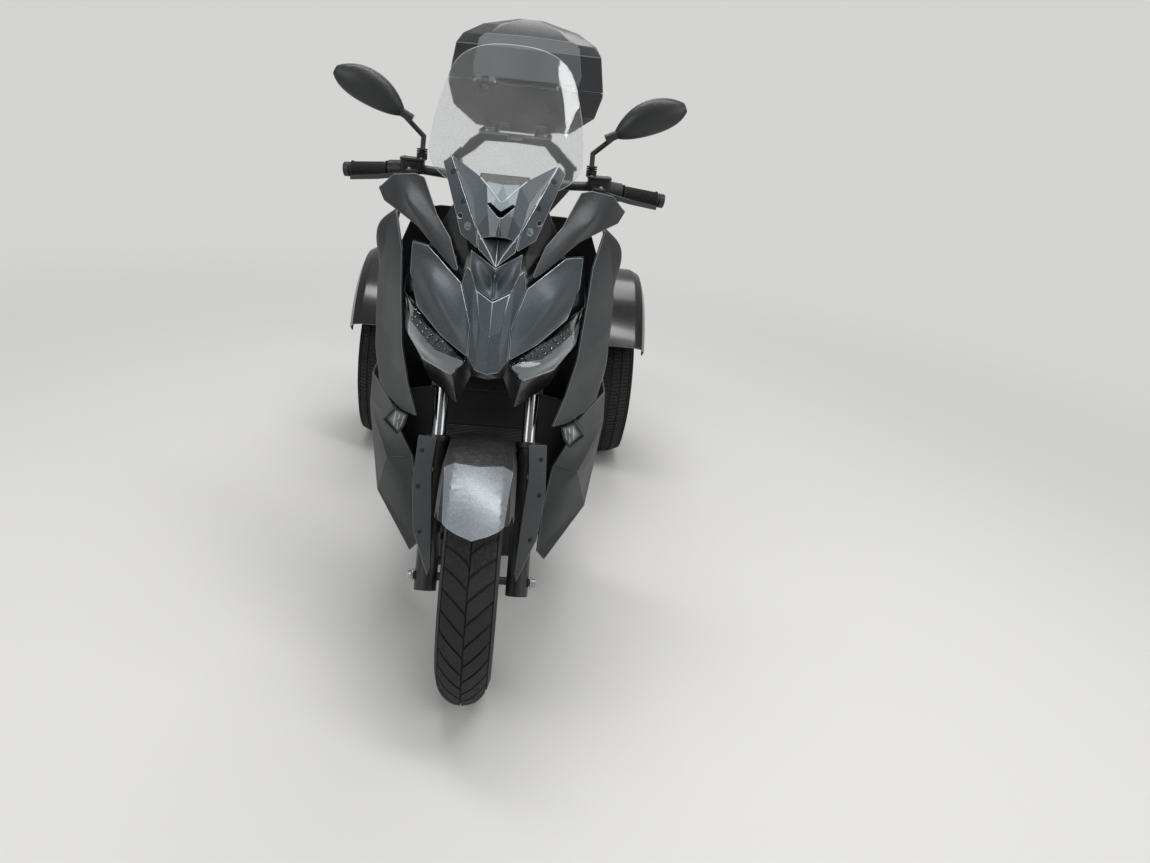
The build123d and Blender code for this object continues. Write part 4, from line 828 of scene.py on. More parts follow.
dress("handlebar", enamel)
rib_tree, given = new_tree("ribs_on_a_rod", Radius=0.018, Thickness=0.0016)
rib = add(
    rib_tree, "GeometryNodeMeshCylinder",
    {"Vertices": 28, "Radius": given["Radius"], "Depth": given["Thickness"]},
)
grip_rubber = surface("ribbed_grip_rubber", "#131313", 0.7, grain_mm=1.2, relief_mm=0.08, mottled=0.2)
end_tree(rib_tree, along_aims(rib_tree, rib.outputs[0]), grip_rubber)
refaced("grips", 0.8, "rubber", grip_rubber, enamel, crease=40, paint={1: lambda c, n: abs(c.x) > 0.3715})
rib_spots = []
for side in (-1, 1):
    start, end = bar_end(side)
    for k in range(24):
        rib_spots.append((start.lerp(end, 0.49 + 0.016 * k), end - start))
sown("grip_ribs", rib_tree, rib_spots, "steering", "rubber", Radius=0.0179, Thickness=0.0014)

switch_black = surface(
    "satin_black_switch_plastic", "#18191a", 0.45, grain_mm=1.2, relief_mm=0.08, dust=0.2,
)
lever_enamel = surface("black_lever_enamel", "#26282a", 0.3, coat=0.3)


def on_levers(point, normal):
    """Whether a point of the switchgear lies on a lever."""
    low_and_out = abs(point.x) > 0.25 and point.z < bar(0, 0, 38).z
    return low_and_out and (abs(point.x) > 0.283 or point.y < bar(0, 13, 0).y)


refaced("switchgear", 1.2, "black_plastic", switch_black, lever_enamel, crease=35, paint={1: on_levers})
fasten(
    "reservoir_screws", "steering",
    [
        (bar(side * x, 36 + y, 60), Vector((0, 0, 1)))
        for side in (-1, 1) for x, y in ((202, -12), (242, 12))
    ],
    2.6, 1.6, bright_steel,
)
fasten(
    "lever_pivots", "steering", [(bar(side * 226, 4, 36), Vector((0, 0, 1))) for side in (-1, 1)], 4.5, 3,
    bright_steel,
)


def block(name, size_mm, centre, round_mm, turn=Matrix.Identity(4)):
    """A small moulded block with rounded edges."""
    shape = bmesh.new()
    bmesh.ops.create_cube(
        shape, size=1.0,
        matrix=Matrix.Translation(centre) @ turn @ Matrix.Diagonal((*[s / 1000 for s in size_mm], 1)),
    )
    bmesh.ops.bevel(
        shape, geom=shape.edges[:], offset=round_mm / 1000, segments=3, profile=0.6, affect="EDGES",
    )
    return meshed(shape, name, sharp=50)


button_plastic = surface("moulded_button_plastic", "#2b2c2e", 0.35, mottled=0.1)
start_red = surface("red_button_plastic", "#8e1d18", 0.35, mottled=0.05)
for side_name, side in SIDES:
    start, end = bar_end(side)
    lean = Vector((1, 0, 0)).rotation_difference((end - start) * side).to_matrix().to_4x4()
    buttons = []
    for share, rise, size in (
        (0.16, 10, (14, 6, 9)), (0.27, 12, (11, 7, 11)), (0.27, -4, (15, 6, 8)), (0.37, 4, (8, 7, 14)),
    ):
        buttons.append(
            block("button", size, start.lerp(end, share) + Vector((0, 0.0205, rise / 1000)), 1.6, lean)
        )
    keys = joined("buttons_" + side_name, buttons)
    keys.materials.append(button_plastic)
    keys.materials.append(start_red)
    if side < 0:
        paint_where(keys, 1, lambda c, n: c.x > start.lerp(end, 0.21).x and c.z > start.z)
    fit("buttons_" + side_name, keys, "steering")

# Mirrors are injection moulded in black, on bent steel stems. The housings' grain is dusty on top, and the
# silvered glass sits a little inside the rim at the back.
mirror_black = surface(
    "black_grained_mirror_housing", "#1d1f20", 0.42, grain_mm=1.5, relief_mm=0.12, dust=0.35,
)
silvering = surface("silvered_mirror_glass", "#dfe3e5", 0.03, metal=1.0, mottled=0.02)
mirror_mesh, _ = eased("mirrors", 0.8, mirror_black, silvering, crease=40, sharp=30)
shape = bmesh.new()
shape.from_mesh(mirror_mesh)
back = at(0, 484.69, 0).y
faces = [
    f
    for f in shape.faces
    if f.normal.y > 0.98 and abs(f.calc_center_median().y - back) < 0.0012 and f.calc_area() > 1e-5
]
bmesh.ops.inset_region(shape, faces=faces, thickness=0.0025, depth=0.0)
bmesh.ops.inset_region(shape, faces=faces, thickness=0.0006, depth=-0.0015)
for face in faces:
    face.material_index = 1
shape.to_mesh(mirror_mesh)
shape.free()
fit("mirrors_dressed", mirror_mesh, "steering", ["mirrors"])
boot_spots = []
for side in (-1, 1):
    for k in range(5):
        boot_spots.append((bar(side * 202, 42, 60 + 5 * k), Vector((0, 0, 1))))
sown("stem_boots", rib_tree, boot_spots, "steering", "rubber", Radius=0.0128, Thickness=0.0028)

# The front is closed by moulded panels in a blue-grey metallic lacquer with a dull clear coat. Fine flakes
# show as grain, and the rounded rims of the panels are painted pale as a painted highlight, for thin bright
# lines.
lacquer = surface(
    "blue_grey_metallic_lacquer", "#42494e", 0.5, metal=0.45, coat=0.08, mottled=0.07, flake_mm=1.2,
    dust=0.15,
)
lacquer_highlight = surface("lacquered_panel_rims", "#a9b0b6", 0.34, metal=0.4, mottled=0.1)
pale_lacquer = surface(
    "pale_blue_grey_lacquer", "#6a7277", 0.48, metal=0.45, coat=0.08, mottled=0.06, flake_mm=1.2,
)
for node, width in (("nose_cover", 1.1), ("nose_brow", 1.1), ("cheeks", 1.2), ("screen_strips", 1.2)):
    refaced(node, width, "panel_silver", lacquer, edge_finish=lacquer_highlight)


def above_lip(point, normal):
    """Whether a point of the upper panel lies between its raised lip and its top edge."""
    return normal.y < -0.1 and point.z > 1.0755 + abs(point.x) * 0.86


refaced(
    "v_panel", 1.3, "panel_silver", lacquer, pale_lacquer, edge_finish=lacquer_highlight, crease=36, sharp=8,
    paint={1: above_lip},
)


def finder(nodes, side=-1):
    """A search for these solids' first point at (x, z), from the front or, at side 1, from behind."""
    corners, faces = [], []
    for node in nodes:
        mesh = bpy.data.objects[node].data
        first = len(corners)
        corners += [v.co.copy() for v in mesh.vertices]
        faces += [[first + i for i in face.vertices] for face in mesh.polygons]
    tree = BVHTree.FromPolygons(corners, faces)

    def find(x, z):
        spot, normal, _, _ = tree.ray_cast(Vector((x / 1000, 3 * side, z / 1000)), Vector((0, -side, 0)))
        return spot, normal

    return find


def beading(name, points, radius_mm, material, body):
    """A thin moulded bead along a run of points, closed at both ends."""
    line = bpy.data.curves.new(name, "CURVE")
    line.dimensions = "3D"
    run = line.splines.new("POLY")
    run.points.add(len(points) - 1)
    for point, place in zip(run.points, points):
        point.co = (*place, 1)
    line.bevel_depth = radius_mm / 1000
    line.bevel_resolution = 1
    line.use_fill_caps = True
    mesh = settled(placed(name, line), name, material)
    mesh.shade_smooth()
    return fit(name, mesh, body)


def between(find, knots, steps, sink_mm=0.0):
    """Points on a panel along straight runs between (x, z) knots, sunk a little into its skin."""
    run = []
    for (x0, z0), (x1, z1) in zip(knots, knots[1:]):
        for k in range(steps + 1):
            if k == 0 and run:
                continue
            spot, normal = find(x0 + (x1 - x0) * k / steps, z0 + (z1 - z0) * k / steps)
            run.append(spot - normal * (sink_mm / 1000))
    return run


on_v = finder(["v_panel"])
# The raised lip is a bead painted in the pale rim colour: a painted highlight.
beading(
    "v_panel_lip",
    between(on_v, [(-50, 1119.5), (-33, 1105), (0, 1075.5), (33, 1105), (50, 1119.5)], 8, 0.6), 2.2,
    lacquer_highlight, "body",
)
on_strips = finder(["screen_strips"])
strip_screws, strip_plugs = [], []
for side in (-1, 1):
    spot, normal = finder(["screen_strips", "front_cowl"])(side * 66, 1033)
    strip_screws.append((spot + Vector((0, 0.001, 0)), Vector((side * 0.62, -0.7, 0.32))))
    for x, z in ((79, 1077), (107, 1128)):
        spot, normal = on_strips(side * x, z)
        strip_plugs.append((spot - normal * 0.0004, normal))
fasten("strip_screws", "body", strip_screws, 5.6, 3.0, bright_steel)
fasten("strip_plugs", "body", strip_plugs, 5.2, 1.2)

# The wings, blades, leg shields and side cowls are through-dyed anthracite plastic with a fine moulded
# grain and no lacquer. Their rims are smoother than their faces and painted lighter as a painted highlight,
# and dust lies on what faces up. The front cowl behind them is gloss black, its rims also painted lighter.
anthracite = surface(
    "anthracite_grained_plastic", "#272a2d", 0.52, grain_mm=1.3, relief_mm=0.1, mottled=0.1, dust=0.18,
)
anthracite_highlight = surface("anthracite_panel_rims", "#6e747a", 0.38, mottled=0.1)
for node, width in (("wings", 1.4), ("blades", 1.0), ("leg_shields", 1.0), ("side_cowls", 1.0)):
    refaced(node, width, "panel_dark", anthracite, edge_finish=anthracite_highlight, crease=34)
skin_black = surface("gloss_black_inner_cowl", "#121315", 0.28, coat=0.3, mottled=0.15, dust=0.15)
refaced("front_cowl", 0.8, "black_plastic", skin_black, edge_finish=black_plastic_highlight, crease=40)


# Each headlamp is a clear polycarbonate cover over a dark metallised housing. Two rows of small square
# reflector cells lie along its upper half, and a frosted light guide with a bright rim along its lower.
def clear_sheet(name, colour, rough, bending):
    """A clear plastic, with its node tree and main shader."""
    material, tree, shader = fresh(name)
    for socket, value in (
        ("Base Color", linear(colour)), ("Transmission Weight", 1.0), ("Roughness", rough),
        ("IOR", bending),
    ):
        shader.inputs[socket].default_value = value
    return material, tree, shader


cover_clear, tree, cover_shader = clear_sheet("clear_polycarbonate_cover", "#e4e9ec", 0.04, 1.58)
scuff = ramp(tree, noise(tree, own_place(tree), 60.0, 4.0), 0.5, 0.8, 0.03, 0.2)
tree.links.new(scuff, cover_shader.inputs["Roughness"])
dark_mirror = surface("dark_metallised_reflector", "#33373a", 0.22, metal=0.9, mottled=0.2)
bright_mirror = surface("vacuum_metallised_reflector", "#c3c7c9", 0.12, metal=1.0, mottled=0.1)
frosted = surface("frosted_light_guide", "#8f9698", 0.4, coat=0.4, mottled=0.12)
# Pale white for the headlamps' light guide rim and the turn signals' ribs; on the turn signals' rims it is
# a painted highlight.
pale_guide_and_rim_highlight = surface("bright_light_guide_rim", "#d5dadc", 0.25, coat=0.5, mottled=0.04)


def walled(sheet, thick_mm, offset, material):
    """A sheet given a wall's thickness."""
    draft = placed(sheet.name, sheet)
    wall = draft.modifiers.new("wall", "SOLIDIFY")
    wall.thickness = thick_mm / 1000
    wall.offset = offset
    return settled(draft, sheet.name, material)


# The lamp's solid is split into a thin cover and the housing, which stands back behind it
SET_BACK = 0.0035
housing, _ = eased("headlamps", 0.5, dark_mirror, frosted, crease=50, sharp=10)
for vert in housing.vertices:
    vert.co.y += SET_BACK
shape = bmesh.new()
shape.from_mesh(bpy.data.objects["headlamps"].data)
bmesh.ops.remove_doubles(shape, verts=shape.verts, dist=1e-5)
hidden = [f for f in shape.faces if f.normal.y > -0.12]
bmesh.ops.delete(shape, geom=hidden, context="FACES")
cover = walled(meshed(shape, "headlamps_cover"), 1.4, -1, cover_clear)


def lower_field(point, normal):
    """Whether a point of the lamp's front lies below the crease between its fields."""
    x, z = abs(point.x) * 1000, point.z * 1000
    crease = [(43, 779), (112, 783), (172, 820), (206, 853)]
    for (x0, z0), (x1, z1) in zip(crease, crease[1:]):
        if x0 <= x <= x1:
            return normal.y < -0.1 and z < z0 + (z1 - z0) * (x - x0) / (x1 - x0)
    return False


paint_where(housing, 1, lower_field)
fit("headlamp_housings", housing, "body", ["headlamps"])
fit("headlamp_covers", cover, "body")
on_lamps = finder(["headlamps"])
cell_tree, given = new_tree("reflector_cells", Size=0.011, Depth=0.003)
frame_box = add(
    cell_tree, "GeometryNodeMeshCone",
    {
        "Vertices": 4, "Radius Top": given["Size"],
        "Radius Bottom": figure(cell_tree, "MULTIPLY", given["Size"], 0.8), "Depth": given["Depth"],
    },
    fill_type="NONE",
)
bulb = add(
    cell_tree, "GeometryNodeMeshIcoSphere",
    {"Radius": figure(cell_tree, "MULTIPLY", given["Size"], 0.42), "Subdivisions": 2},
)
cell = add(cell_tree, "GeometryNodeJoinGeometry")
for part in (frame_box, bulb):
    cell_tree.links.new(part.outputs[0], cell.inputs[0])
end_tree(cell_tree, along_aims(cell_tree, cell.outputs[0]), bright_mirror)
cell_spots = []
for side in (-1, 1):
    for row, lift in ((0, 7), (1, 18)):
        for k in range(8 - row):
            x = 78 + 13 * k + 6 * row
            z = 783 + lift + max(0, x - 112) * 0.6
            spot, normal = on_lamps(side * x, z)
            if spot is not None and normal.y < -0.3:
                cell_spots.append((spot + Vector((0, 0.003, 0)), normal))
sown("headlamp_cells", cell_tree, cell_spots, "body", "chrome", Size=0.0062, Depth=0.003)
for side_name, side in SIDES:
    rim_run = between(on_lamps, [(side * 76, 743.5), (side * 138, 755), (side * 181, 791)], 8, 3.4)
    beading("light_guide_rim_" + side_name, rim_run, 1.9, pale_guide_and_rim_highlight, "body")

# Turn signals are smoked lenses with a rim painted pale as a painted highlight, and three fine ribs each.
# They sit in black pods in the leg shields.
smoked = surface("smoked_signal_lens", "#7d8282", 0.2, coat=0.5, mottled=0.12)
refaced("signal_pods", 1.0, "black_plastic", guard_black, edge_finish=black_plastic_highlight)
refaced("turn_signals", 0.6, "lens", smoked, edge_finish=pale_guide_and_rim_highlight, crease=40)
on_signals = finder(["turn_signals"])
for side_name, side in SIDES:
    for k, (low, high) in enumerate(
        (((190, 562), (184, 586)), ((198, 557), (193, 592)), ((206, 563), (202, 596)))
    ):
        beading(
            f"signal_rib_{side_name}_{k}",
            between(on_signals, [(side * low[0], low[1]), (side * high[0], high[1])], 4, 0.2), 0.9,
            pale_guide_and_rim_highlight, "body",
        )

# The windscreen is a bowed sheet of clear acrylic with polished rims, painted pale as a painted highlight.
# It
# is dusty: pale specks and a fine haze lie all over it.
acrylic, tree, acrylic_shader = clear_sheet("dusty_clear_acrylic", "#f2f5f6", 0.03, 1.49)
where = own_place(tree)
speck = ramp(tree, noise(tree, where, 330.0, 3.0), 0.55, 0.75, 0.0, 0.22)
haze = ramp(tree, noise(tree, where, 9.0, 4.0), 0.35, 0.75, 0.02, 0.08)
film = figure(tree, "ADD", speck, haze)
dusting = add(tree, "ShaderNodeBsdfDiffuse", {"Color": linear("#b9b9b6")})
layered = add(tree, "ShaderNodeMixShader", {0: film, 1: acrylic_shader.outputs[0], 2: dusting.outputs[0]})
tree.links.new(layered.outputs[0], tree.nodes["Material Output"].inputs["Surface"])
acrylic_rim_highlight = surface("polished_acrylic_rim", "#cfd6d8", 0.2, coat=0.5, mottled=0.06)
SCREEN_FACING = Vector((0, -0.857, 0.514))


def on_rim(point, normal):
    """Whether a face of the screen belongs to its narrow rim, which is painted pale as a painted highlight.
    """
    edgewise = abs(normal.y) < 0.45 and abs(normal.y - normal.z * 0.6) < 0.75
    return edgewise and abs(normal.dot(SCREEN_FACING)) < 0.4


refaced(
    "windscreen", 0.7, "clear", acrylic, acrylic_rim_highlight, edge_finish=acrylic_rim_highlight, crease=40, sharp=30,
    paint={1: on_rim},
)

# The rider's side is black grained polypropylene: the dash with its two glove box lids, the hood over a
# dark display glass, the floorboards with ribbed rubber mats, and a flush lid over the filler.
# Their rounded rims are painted a lighter grey, a painted highlight.
for node, width in (
    ("dash", 1.0), ("instrument_hood", 2.0), ("floorboards", 1.0), ("fuel_lid", 1.2),
    ("splash_panel", 1.0), ("storage_tub", 0.8), ("plate_bracket", 0.8),
):
    refaced(node, width, "black_plastic", guard_black, edge_finish=black_plastic_highlight, crease=36)
display_glass = surface("dark_display_glass", "#0c1013", 0.08, coat=0.8, mottled=0.05)
tilt = Matrix.Rotation(math.radians(8), 4, "X")
glass = block("display", (112, 5, 52), at(0, 367, 1078), 2.2, tilt)
glass.materials.append(display_glass)
fit("display", glass, "body")
tick_tree, given = new_tree("dial_ticks", Long=0.005, Wide=0.0011)
tick = add(
    tick_tree, "GeometryNodeMeshCube", {"Size": triple(tick_tree, given["Wide"], given["Long"], 0.0006)},
)
tick_paint = surface("pale_dial_print", "#d8dcd8", 0.5, mottled=0.03)
end_tree(tick_tree, along_aims(tick_tree, tick.outputs[0], "Y"), tick_paint)
tick_spots = []
for centre_x in (-34, 34):
    for k in range(21):
        angle = math.radians(-30 + 12 * k)
        out = Vector((math.cos(angle), 0, math.sin(angle)))
        spot = at(centre_x, 370.2, 1078) + out * 0.019
        tick_spots.append((spot - Vector((0, 0.14 * (spot.z - 1.078), 0)), out))
sown("dial_ticks", tick_tree, tick_spots, "body", "steel")


def boss(name, profile, centre, axis, material, body, steps=40):
    """A turned boss: a closed (radius, height) run about an axis through its foot."""
    turn = Vector((0, 0, 1)).rotation_difference(axis).to_matrix()
    shape = hooped(
        [[centre + turn @ standing(r, z, angle) for r, z in profile] for angle in around(steps)]
    )
    return fit(name, meshed(shape, name, material, sharp=40), body)


lock = [(0.1, 0), (17, 0), (17, 5), (13, 8), (11, 8), (10, 5.5), (0.1, 5.5)]
boss("ignition_lock", lock, at(-150, 470, 900), Vector((0, 1, 0)), zinc, "body")
on_dash = finder(["dash"], 1)
for side_name, side in SIDES:
    corners = [
        (60, 700), (60, 850), (90, 880), (200, 880), (216, 850), (216, 720), (196, 690), (80, 690),
        (60, 700),
    ]
    beading(
        "glove_lid_gap_" + side_name, between(on_dash, [(side * x, z) for x, z in corners], 5, 0.6), 1.5,
        seal, "body",
    )

mat_tree, given = new_tree("mat_ribs", Long=0.11, Wide=0.006)
mat_rib = add(
    mat_tree, "GeometryNodeMeshCylinder",
    {"Vertices": 10, "Radius": given["Wide"], "Depth": given["Long"]},
)
end_tree(mat_tree, along_aims(mat_tree, mat_rib.outputs[0]), seal)
mat_spots = []
for side in (-1, 1):
    for k in range(16):
        mat_spots.append((at(side * 186, 500 + 17 * k, 323.5), Vector((1, 0, 0))))
sown("floor_mat_ribs", mat_tree, mat_spots, "body", "rubber", Wide=0.0035, Long=0.112)

# The seat is one moulded foam cushion under black vinyl, stretched over a plastic pan: a low front for the
# rider, a step, and a raised rear for the passenger. A welted seam runs along each side of its top, and two
# channels are sewn across it. Pressure puffs the vinyl out over the foam by at most 7 mm.
# Station, half width, underside and top, in millimetres
SEAT_STATIONS = [
    (709, 50, 717, 738), (760, 92, 716, 766), (800, 114, 717, 783), (900, 132, 734, 792),
    (1000, 146, 753, 797), (1100, 157, 773, 807), (1150, 162, 784, 815), (1188, 163, 793, 848),
    (1225, 163, 803, 893), (1280, 153, 815, 905), (1340, 138, 833, 913), (1400, 121, 849, 918),
    (1437, 108, 857, 915),
]
FOAM_GRID = 0.007
MOST_PUFF = 0.007
PUFF_FRAMES = 20
SEWN_CHANNELS = (985, 1300)
seat_shape = bmesh.new()
rings = []
for y, half, low, high in SEAT_STATIONS:
    tall = high - low
    ring = []
    for k in range(20):
        angle = math.pi * (k / 19)
        across = math.cos(angle)
        rise = math.sin(angle) ** 0.45
        top = low + tall * (0.08 + (0.9 * rise if 0 < k < 19 else 0))
        ring.append((math.copysign(half, across) * abs(across) ** 0.55, y, top))
    ring += [(-half * 0.92, y, low), (-half * 0.4, y, low), (half * 0.4, y, low), (half * 0.92, y, low)]
    rings.append([seat_shape.verts.new(at(*p)) for p in ring])
for near, far in zip(rings, rings[1:]):
    for i in range(len(near)):
        seat_shape.faces.new((near[i - 1], near[i], far[i], far[i - 1]))
seat_shape.faces.new(rings[0])
seat_shape.faces.new(rings[-1][::-1])
bmesh.ops.recalc_face_normals(seat_shape, faces=seat_shape.faces)
seat_mesh = meshed(seat_shape, "seat_foam")
foam = placed("seat_foam", seat_mesh)
even = foam.modifiers.new("even", "REMESH")
even.mode = "VOXEL"
even.voxel_size = FOAM_GRID
soften = foam.modifiers.new("soften", "SMOOTH")
soften.iterations = 6
foam_mesh = settled(foam, foam.name)
foam = placed("seat_foam", foam_mesh)
held = foam.vertex_groups.new(name="on_the_pan")
still = []
for vert in foam_mesh.vertices:
    floor_z = None
    for (y0, _, low0, _), (y1, _, low1, _) in zip(SEAT_STATIONS, SEAT_STATIONS[1:]):
        station = vert.co.y * 1000 + AXLE_STATION
        if y0 - 8 <= station <= y1 + 8:
            floor_z = low0 + (low1 - low0) * (station - y0) / (y1 - y0)
    if floor_z is None or vert.co.z * 1000 < floor_z + 9:
        still.append(vert.index)
held.add(still, 1.0, "REPLACE")
before = [v.co.copy() for v in foam_mesh.vertices]
cloth = foam.modifiers.new("vinyl_over_foam", "CLOTH")
cloth.settings.quality = 5
cloth.settings.use_pressure = True
cloth.settings.uniform_pressure_force = 4.0
cloth.settings.vertex_group_mass = "on_the_pan"
cloth.settings.effector_weights.gravity = 0.0
cloth.settings.tension_stiffness = 30
cloth.settings.compression_stiffness = 30
cloth.point_cache.frame_start = 1
cloth.point_cache.frame_end = PUFF_FRAMES
for step in range(1, PUFF_FRAMES + 1):
    bpy.context.scene.frame_set(step)
puffed = foam.evaluated_get(bpy.context.evaluated_depsgraph_get()).to_mesh()
after = [v.co.copy() for v in puffed.vertices]
bpy.context.scene.frame_set(1)
foam.modifiers.remove(cloth)
for vert, old, new in zip(foam_mesh.vertices, before, after):
    move = new - old
    if move.length > MOST_PUFF:
        move = move.normalized() * MOST_PUFF
    vert.co = old + move


def seat_edge(station, share=0.93, drop_mm=13):
    """Half width and height of a seam along the seat's edge at a station."""
    for (y0, h0, _, t0), (y1, h1, _, t1) in zip(SEAT_STATIONS, SEAT_STATIONS[1:]):
        if y0 <= station <= y1:
            t = (station - y0) / (y1 - y0)
            return (h0 + (h1 - h0) * t) * share, t0 + (t1 - t0) * t - drop_mm
    return 0, 0


seat_low, seat_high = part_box("seat")
# Sewn channels across the rider's and the passenger's part are pressed into the foam
for vert in foam_mesh.vertices:
    station = vert.co.y * 1000 + AXLE_STATION
    for channel in SEWN_CHANNELS:
        depth = 4.5 * math.exp(-((station - channel - abs(vert.co.x) * 120) / 7) ** 2)
        if vert.normal.z > 0.3:
            vert.co.z -= depth / 1000
    vert.co.x = max(seat_low.x, min(seat_high.x, vert.co.x))
    vert.co.y = max(seat_low.y, min(seat_high.y + 0.004, vert.co.y))
finer = foam.modifiers.new("finer", "SUBSURF")
finer.levels = finer.render_levels = 1
# Vinyl has a shallow embossed leather grain about 2 mm across and a soft sheen
vinyl = surface("black_embossed_vinyl", "#1b1b1c", 0.5, coat=0.08, mottled=0.12, dust=0.1)
tree = vinyl.node_tree
pebble = add(
    tree, "ShaderNodeTexVoronoi", {"Vector": own_place(tree), "Scale": 420.0}, feature="SMOOTH_F1",
)
raise_skin(tree, pebble.outputs["Distance"], 0.5, 0.4)
tree.nodes["Principled BSDF"].inputs["Sheen Weight"].default_value = 0.15
cushion = settled(foam, "seat_foam", vinyl)
cushion.shade_smooth()
seat = fit("seat_cushion", cushion, "seat", ["seat"])
stitch_tree, given = new_tree("stitches", Long=0.0028)
stitch = add(
    stitch_tree, "GeometryNodeMeshCylinder", {"Vertices": 6, "Radius": 0.0006, "Depth": given["Long"]},
)
thread = surface("grey_polyester_thread", "#4d4f50", 0.8)
end_tree(stitch_tree, along_aims(stitch_tree, stitch.outputs[0]), thread)
skin = BVHTree.FromPolygons(
    [v.co.copy() for v in cushion.vertices], [list(f.vertices) for f in cushion.polygons],
)
for side_name, side in SIDES:
    welt, stitches = [], []
    for k in range(61):
        station = 760 + 660 * k / 60
        half, high = seat_edge(station)
        spot, normal, _, _ = skin.find_nearest(at(side * half, station, high))
        welt.append(spot + normal * 0.0006)
    beading("seat_welt_" + side_name, welt, 2.0, vinyl, "seat")
    for k in range(150):
        station = 765 + 650 * k / 149
        half, high = seat_edge(station, 0.86, 6)
        spot, normal, _, _ = skin.find_nearest(at(side * half, station, high))
        stitches.append((spot + normal * 0.0002, Vector((0, 1, 0)) - normal * normal.y))
    sown("seat_stitches_" + side_name, stitch_tree, stitches, "seat", "seat_cover")
for side_name, side in SIDES:
    boss(
        "seat_hinge_" + side_name, [(4.1, 0), (9, 0), (9, 14), (4.1, 14)],
        at(40 if side > 0 else -54, 712, 702), Vector((1, 0, 0)), zinc, "seat", 24,
    )

# Behind the seat, the rear lamp is a red acrylic lens with fine ribs across it, and the black enamelled
# bridge with its rack plate rises over the passenger's place and takes the case. The bridge's top is
# painted grey and its rims paler, painted highlights where it faces the lamps.
red_lens = surface("red_acrylic_lens", "#8c1512", 0.12, coat=0.6, mottled=0.06)
refaced("tail_lamp", 2.0, "red_lens", red_lens, crease=30)
tail_find = finder(["tail_lamp"], 1)
for k in range(5):
    z = 852 + 8 * k
    beading(
        f"tail_lamp_rib_{k}", between(tail_find, [(-34, z), (34, z)], 6, -0.3), 0.9, red_lens, "body",
    )
bridge_top_highlight = surface(
    "satin_grey_bridge_enamel", "#4c4f52", 0.4, metal=0.3, coat=0.15, grain_mm=8, relief_mm=0.1,
    dust=0.25,
)
bridge_rim_highlight = surface("worn_bridge_edges", "#9a9ea1", 0.35, metal=0.4)


def on_highlighted_bridge_top(point, normal):
    """Whether a point of the carrier lies on the bridge's top ahead of the rack plate, which is painted
    grey as a painted highlight.
    """
    return point.z > 1.09 and point.y * 1000 + AXLE_STATION < 1530


refaced(
    "arch_carrier", 1.4, "black_steel", enamel, bridge_top_highlight, edge_finish=bridge_rim_highlight,
    paint={1: on_highlighted_bridge_top},
)
rack_screws = [
    (at(side * x, y, 1124.4), Vector((0, 0, 1)))
    for side in (-1, 1) for x, y in ((100, 1560), (108, 1700), (100, 1835))
]
fasten("rack_screws", "body", rack_screws, 6, 4, bright_steel)

# The case is injection moulded in black, its lid satin and a little smoother. A grey panel is set into the
# lid's front, the hinges turn on steel pins, and the small blocks at its front and its catch are black.
case_black = surface(
    "black_grained_case_plastic", "#1c1d1f", 0.5, grain_mm=1.6, relief_mm=0.14, dust=0.25,
)
lid_black = surface(
    "satin_black_lid_plastic", "#202224", 0.38, coat=0.15, grain_mm=1.2, relief_mm=0.05, dust=0.18,
)
case_highlight = surface("case_plastic_edges", "#60656a", 0.32)
panel_grey = surface("graphite_grey_lid_panel", "#45494c", 0.5, grain_mm=1.2, relief_mm=0.08, dust=0.2)
# Painted highlight: each part's rounded rims take a lighter grey.
for node, width, finish, edge in (
    ("case_base", 1.6, case_black, black_plastic_highlight), ("case_lid", 2.0, lid_black, case_highlight),
    ("case_panel", 1.2, panel_grey, case_highlight),
):
    refaced(node, width, "black_plastic", finish, edge_finish=edge, crease=24)
hinge_pins = []
for side in (-1, 1):
    for end in (-1, 1):
        hinge_pins.append((at(22 + side * 140 + end * 33.6, 1556, 1284), Vector((end, 0, 0))))
fasten("case_hinge_pins", "body", hinge_pins, 5, 2.4, bright_steel)
for side_name, side in SIDES:
    latch = block("latch_" + side_name, (44, 7, 26), at(22 + side * 66, 1572, 1262), 2.2)
    latch.materials.append(lid_black)
    fit("case_front_mark_" + side_name, latch, "body")
key = block("lid_key", (58, 7, 34), at(22, 1984, 1256), 2.5)
key.materials.append(lid_black)
fit("lid_catch", key, "body")
boss(
    "lid_lock", [(0.1, 0), (9, 0), (9, 2), (7, 3), (0.1, 3)], at(22, 1984, 1256), Vector((0, 1, 0)),
    bright_steel, "body", 28,
)

# The mudguards are gloss black glass-reinforced plastic, buffed to a deep shine, each with a rolled lip
# painted grey as a painted highlight.
# Two bright bolts hold each one from its inner side.
gloss_guard = surface("gloss_black_gelcoat", "#0d0e10", 0.24, coat=0.3, mottled=0.04, dust=0.08)
gloss_lip_highlight = surface("rolled_guard_lip", "#55595d", 0.15, coat=0.5)
refaced("mudguards", 1.6, "gloss_black", gloss_guard, edge_finish=gloss_lip_highlight, crease=36, sharp=28)
guard_bolts = [
    (at(side * 330.6, 1540 + y, 641), Vector((-side, 0, 0)))
    for side in (-1, 1) for y in (-90, 90)
]
fasten("guard_bolts", "body", guard_bolts, 7, 5, bright_steel)


# The rear axle is a welded beam with a cast differential housing and trailing arms in black enamel, and two
# grey piston calipers. The dampers are black bodies inside wound springs of grey enamelled steel.
def on_rear_calipers(point, normal):
    """Whether a point of the axle lies on a brake caliper."""
    return 0.325 < abs(point.x) < 0.42 and 1610 < point.y * 1000 + AXLE_STATION < 1670


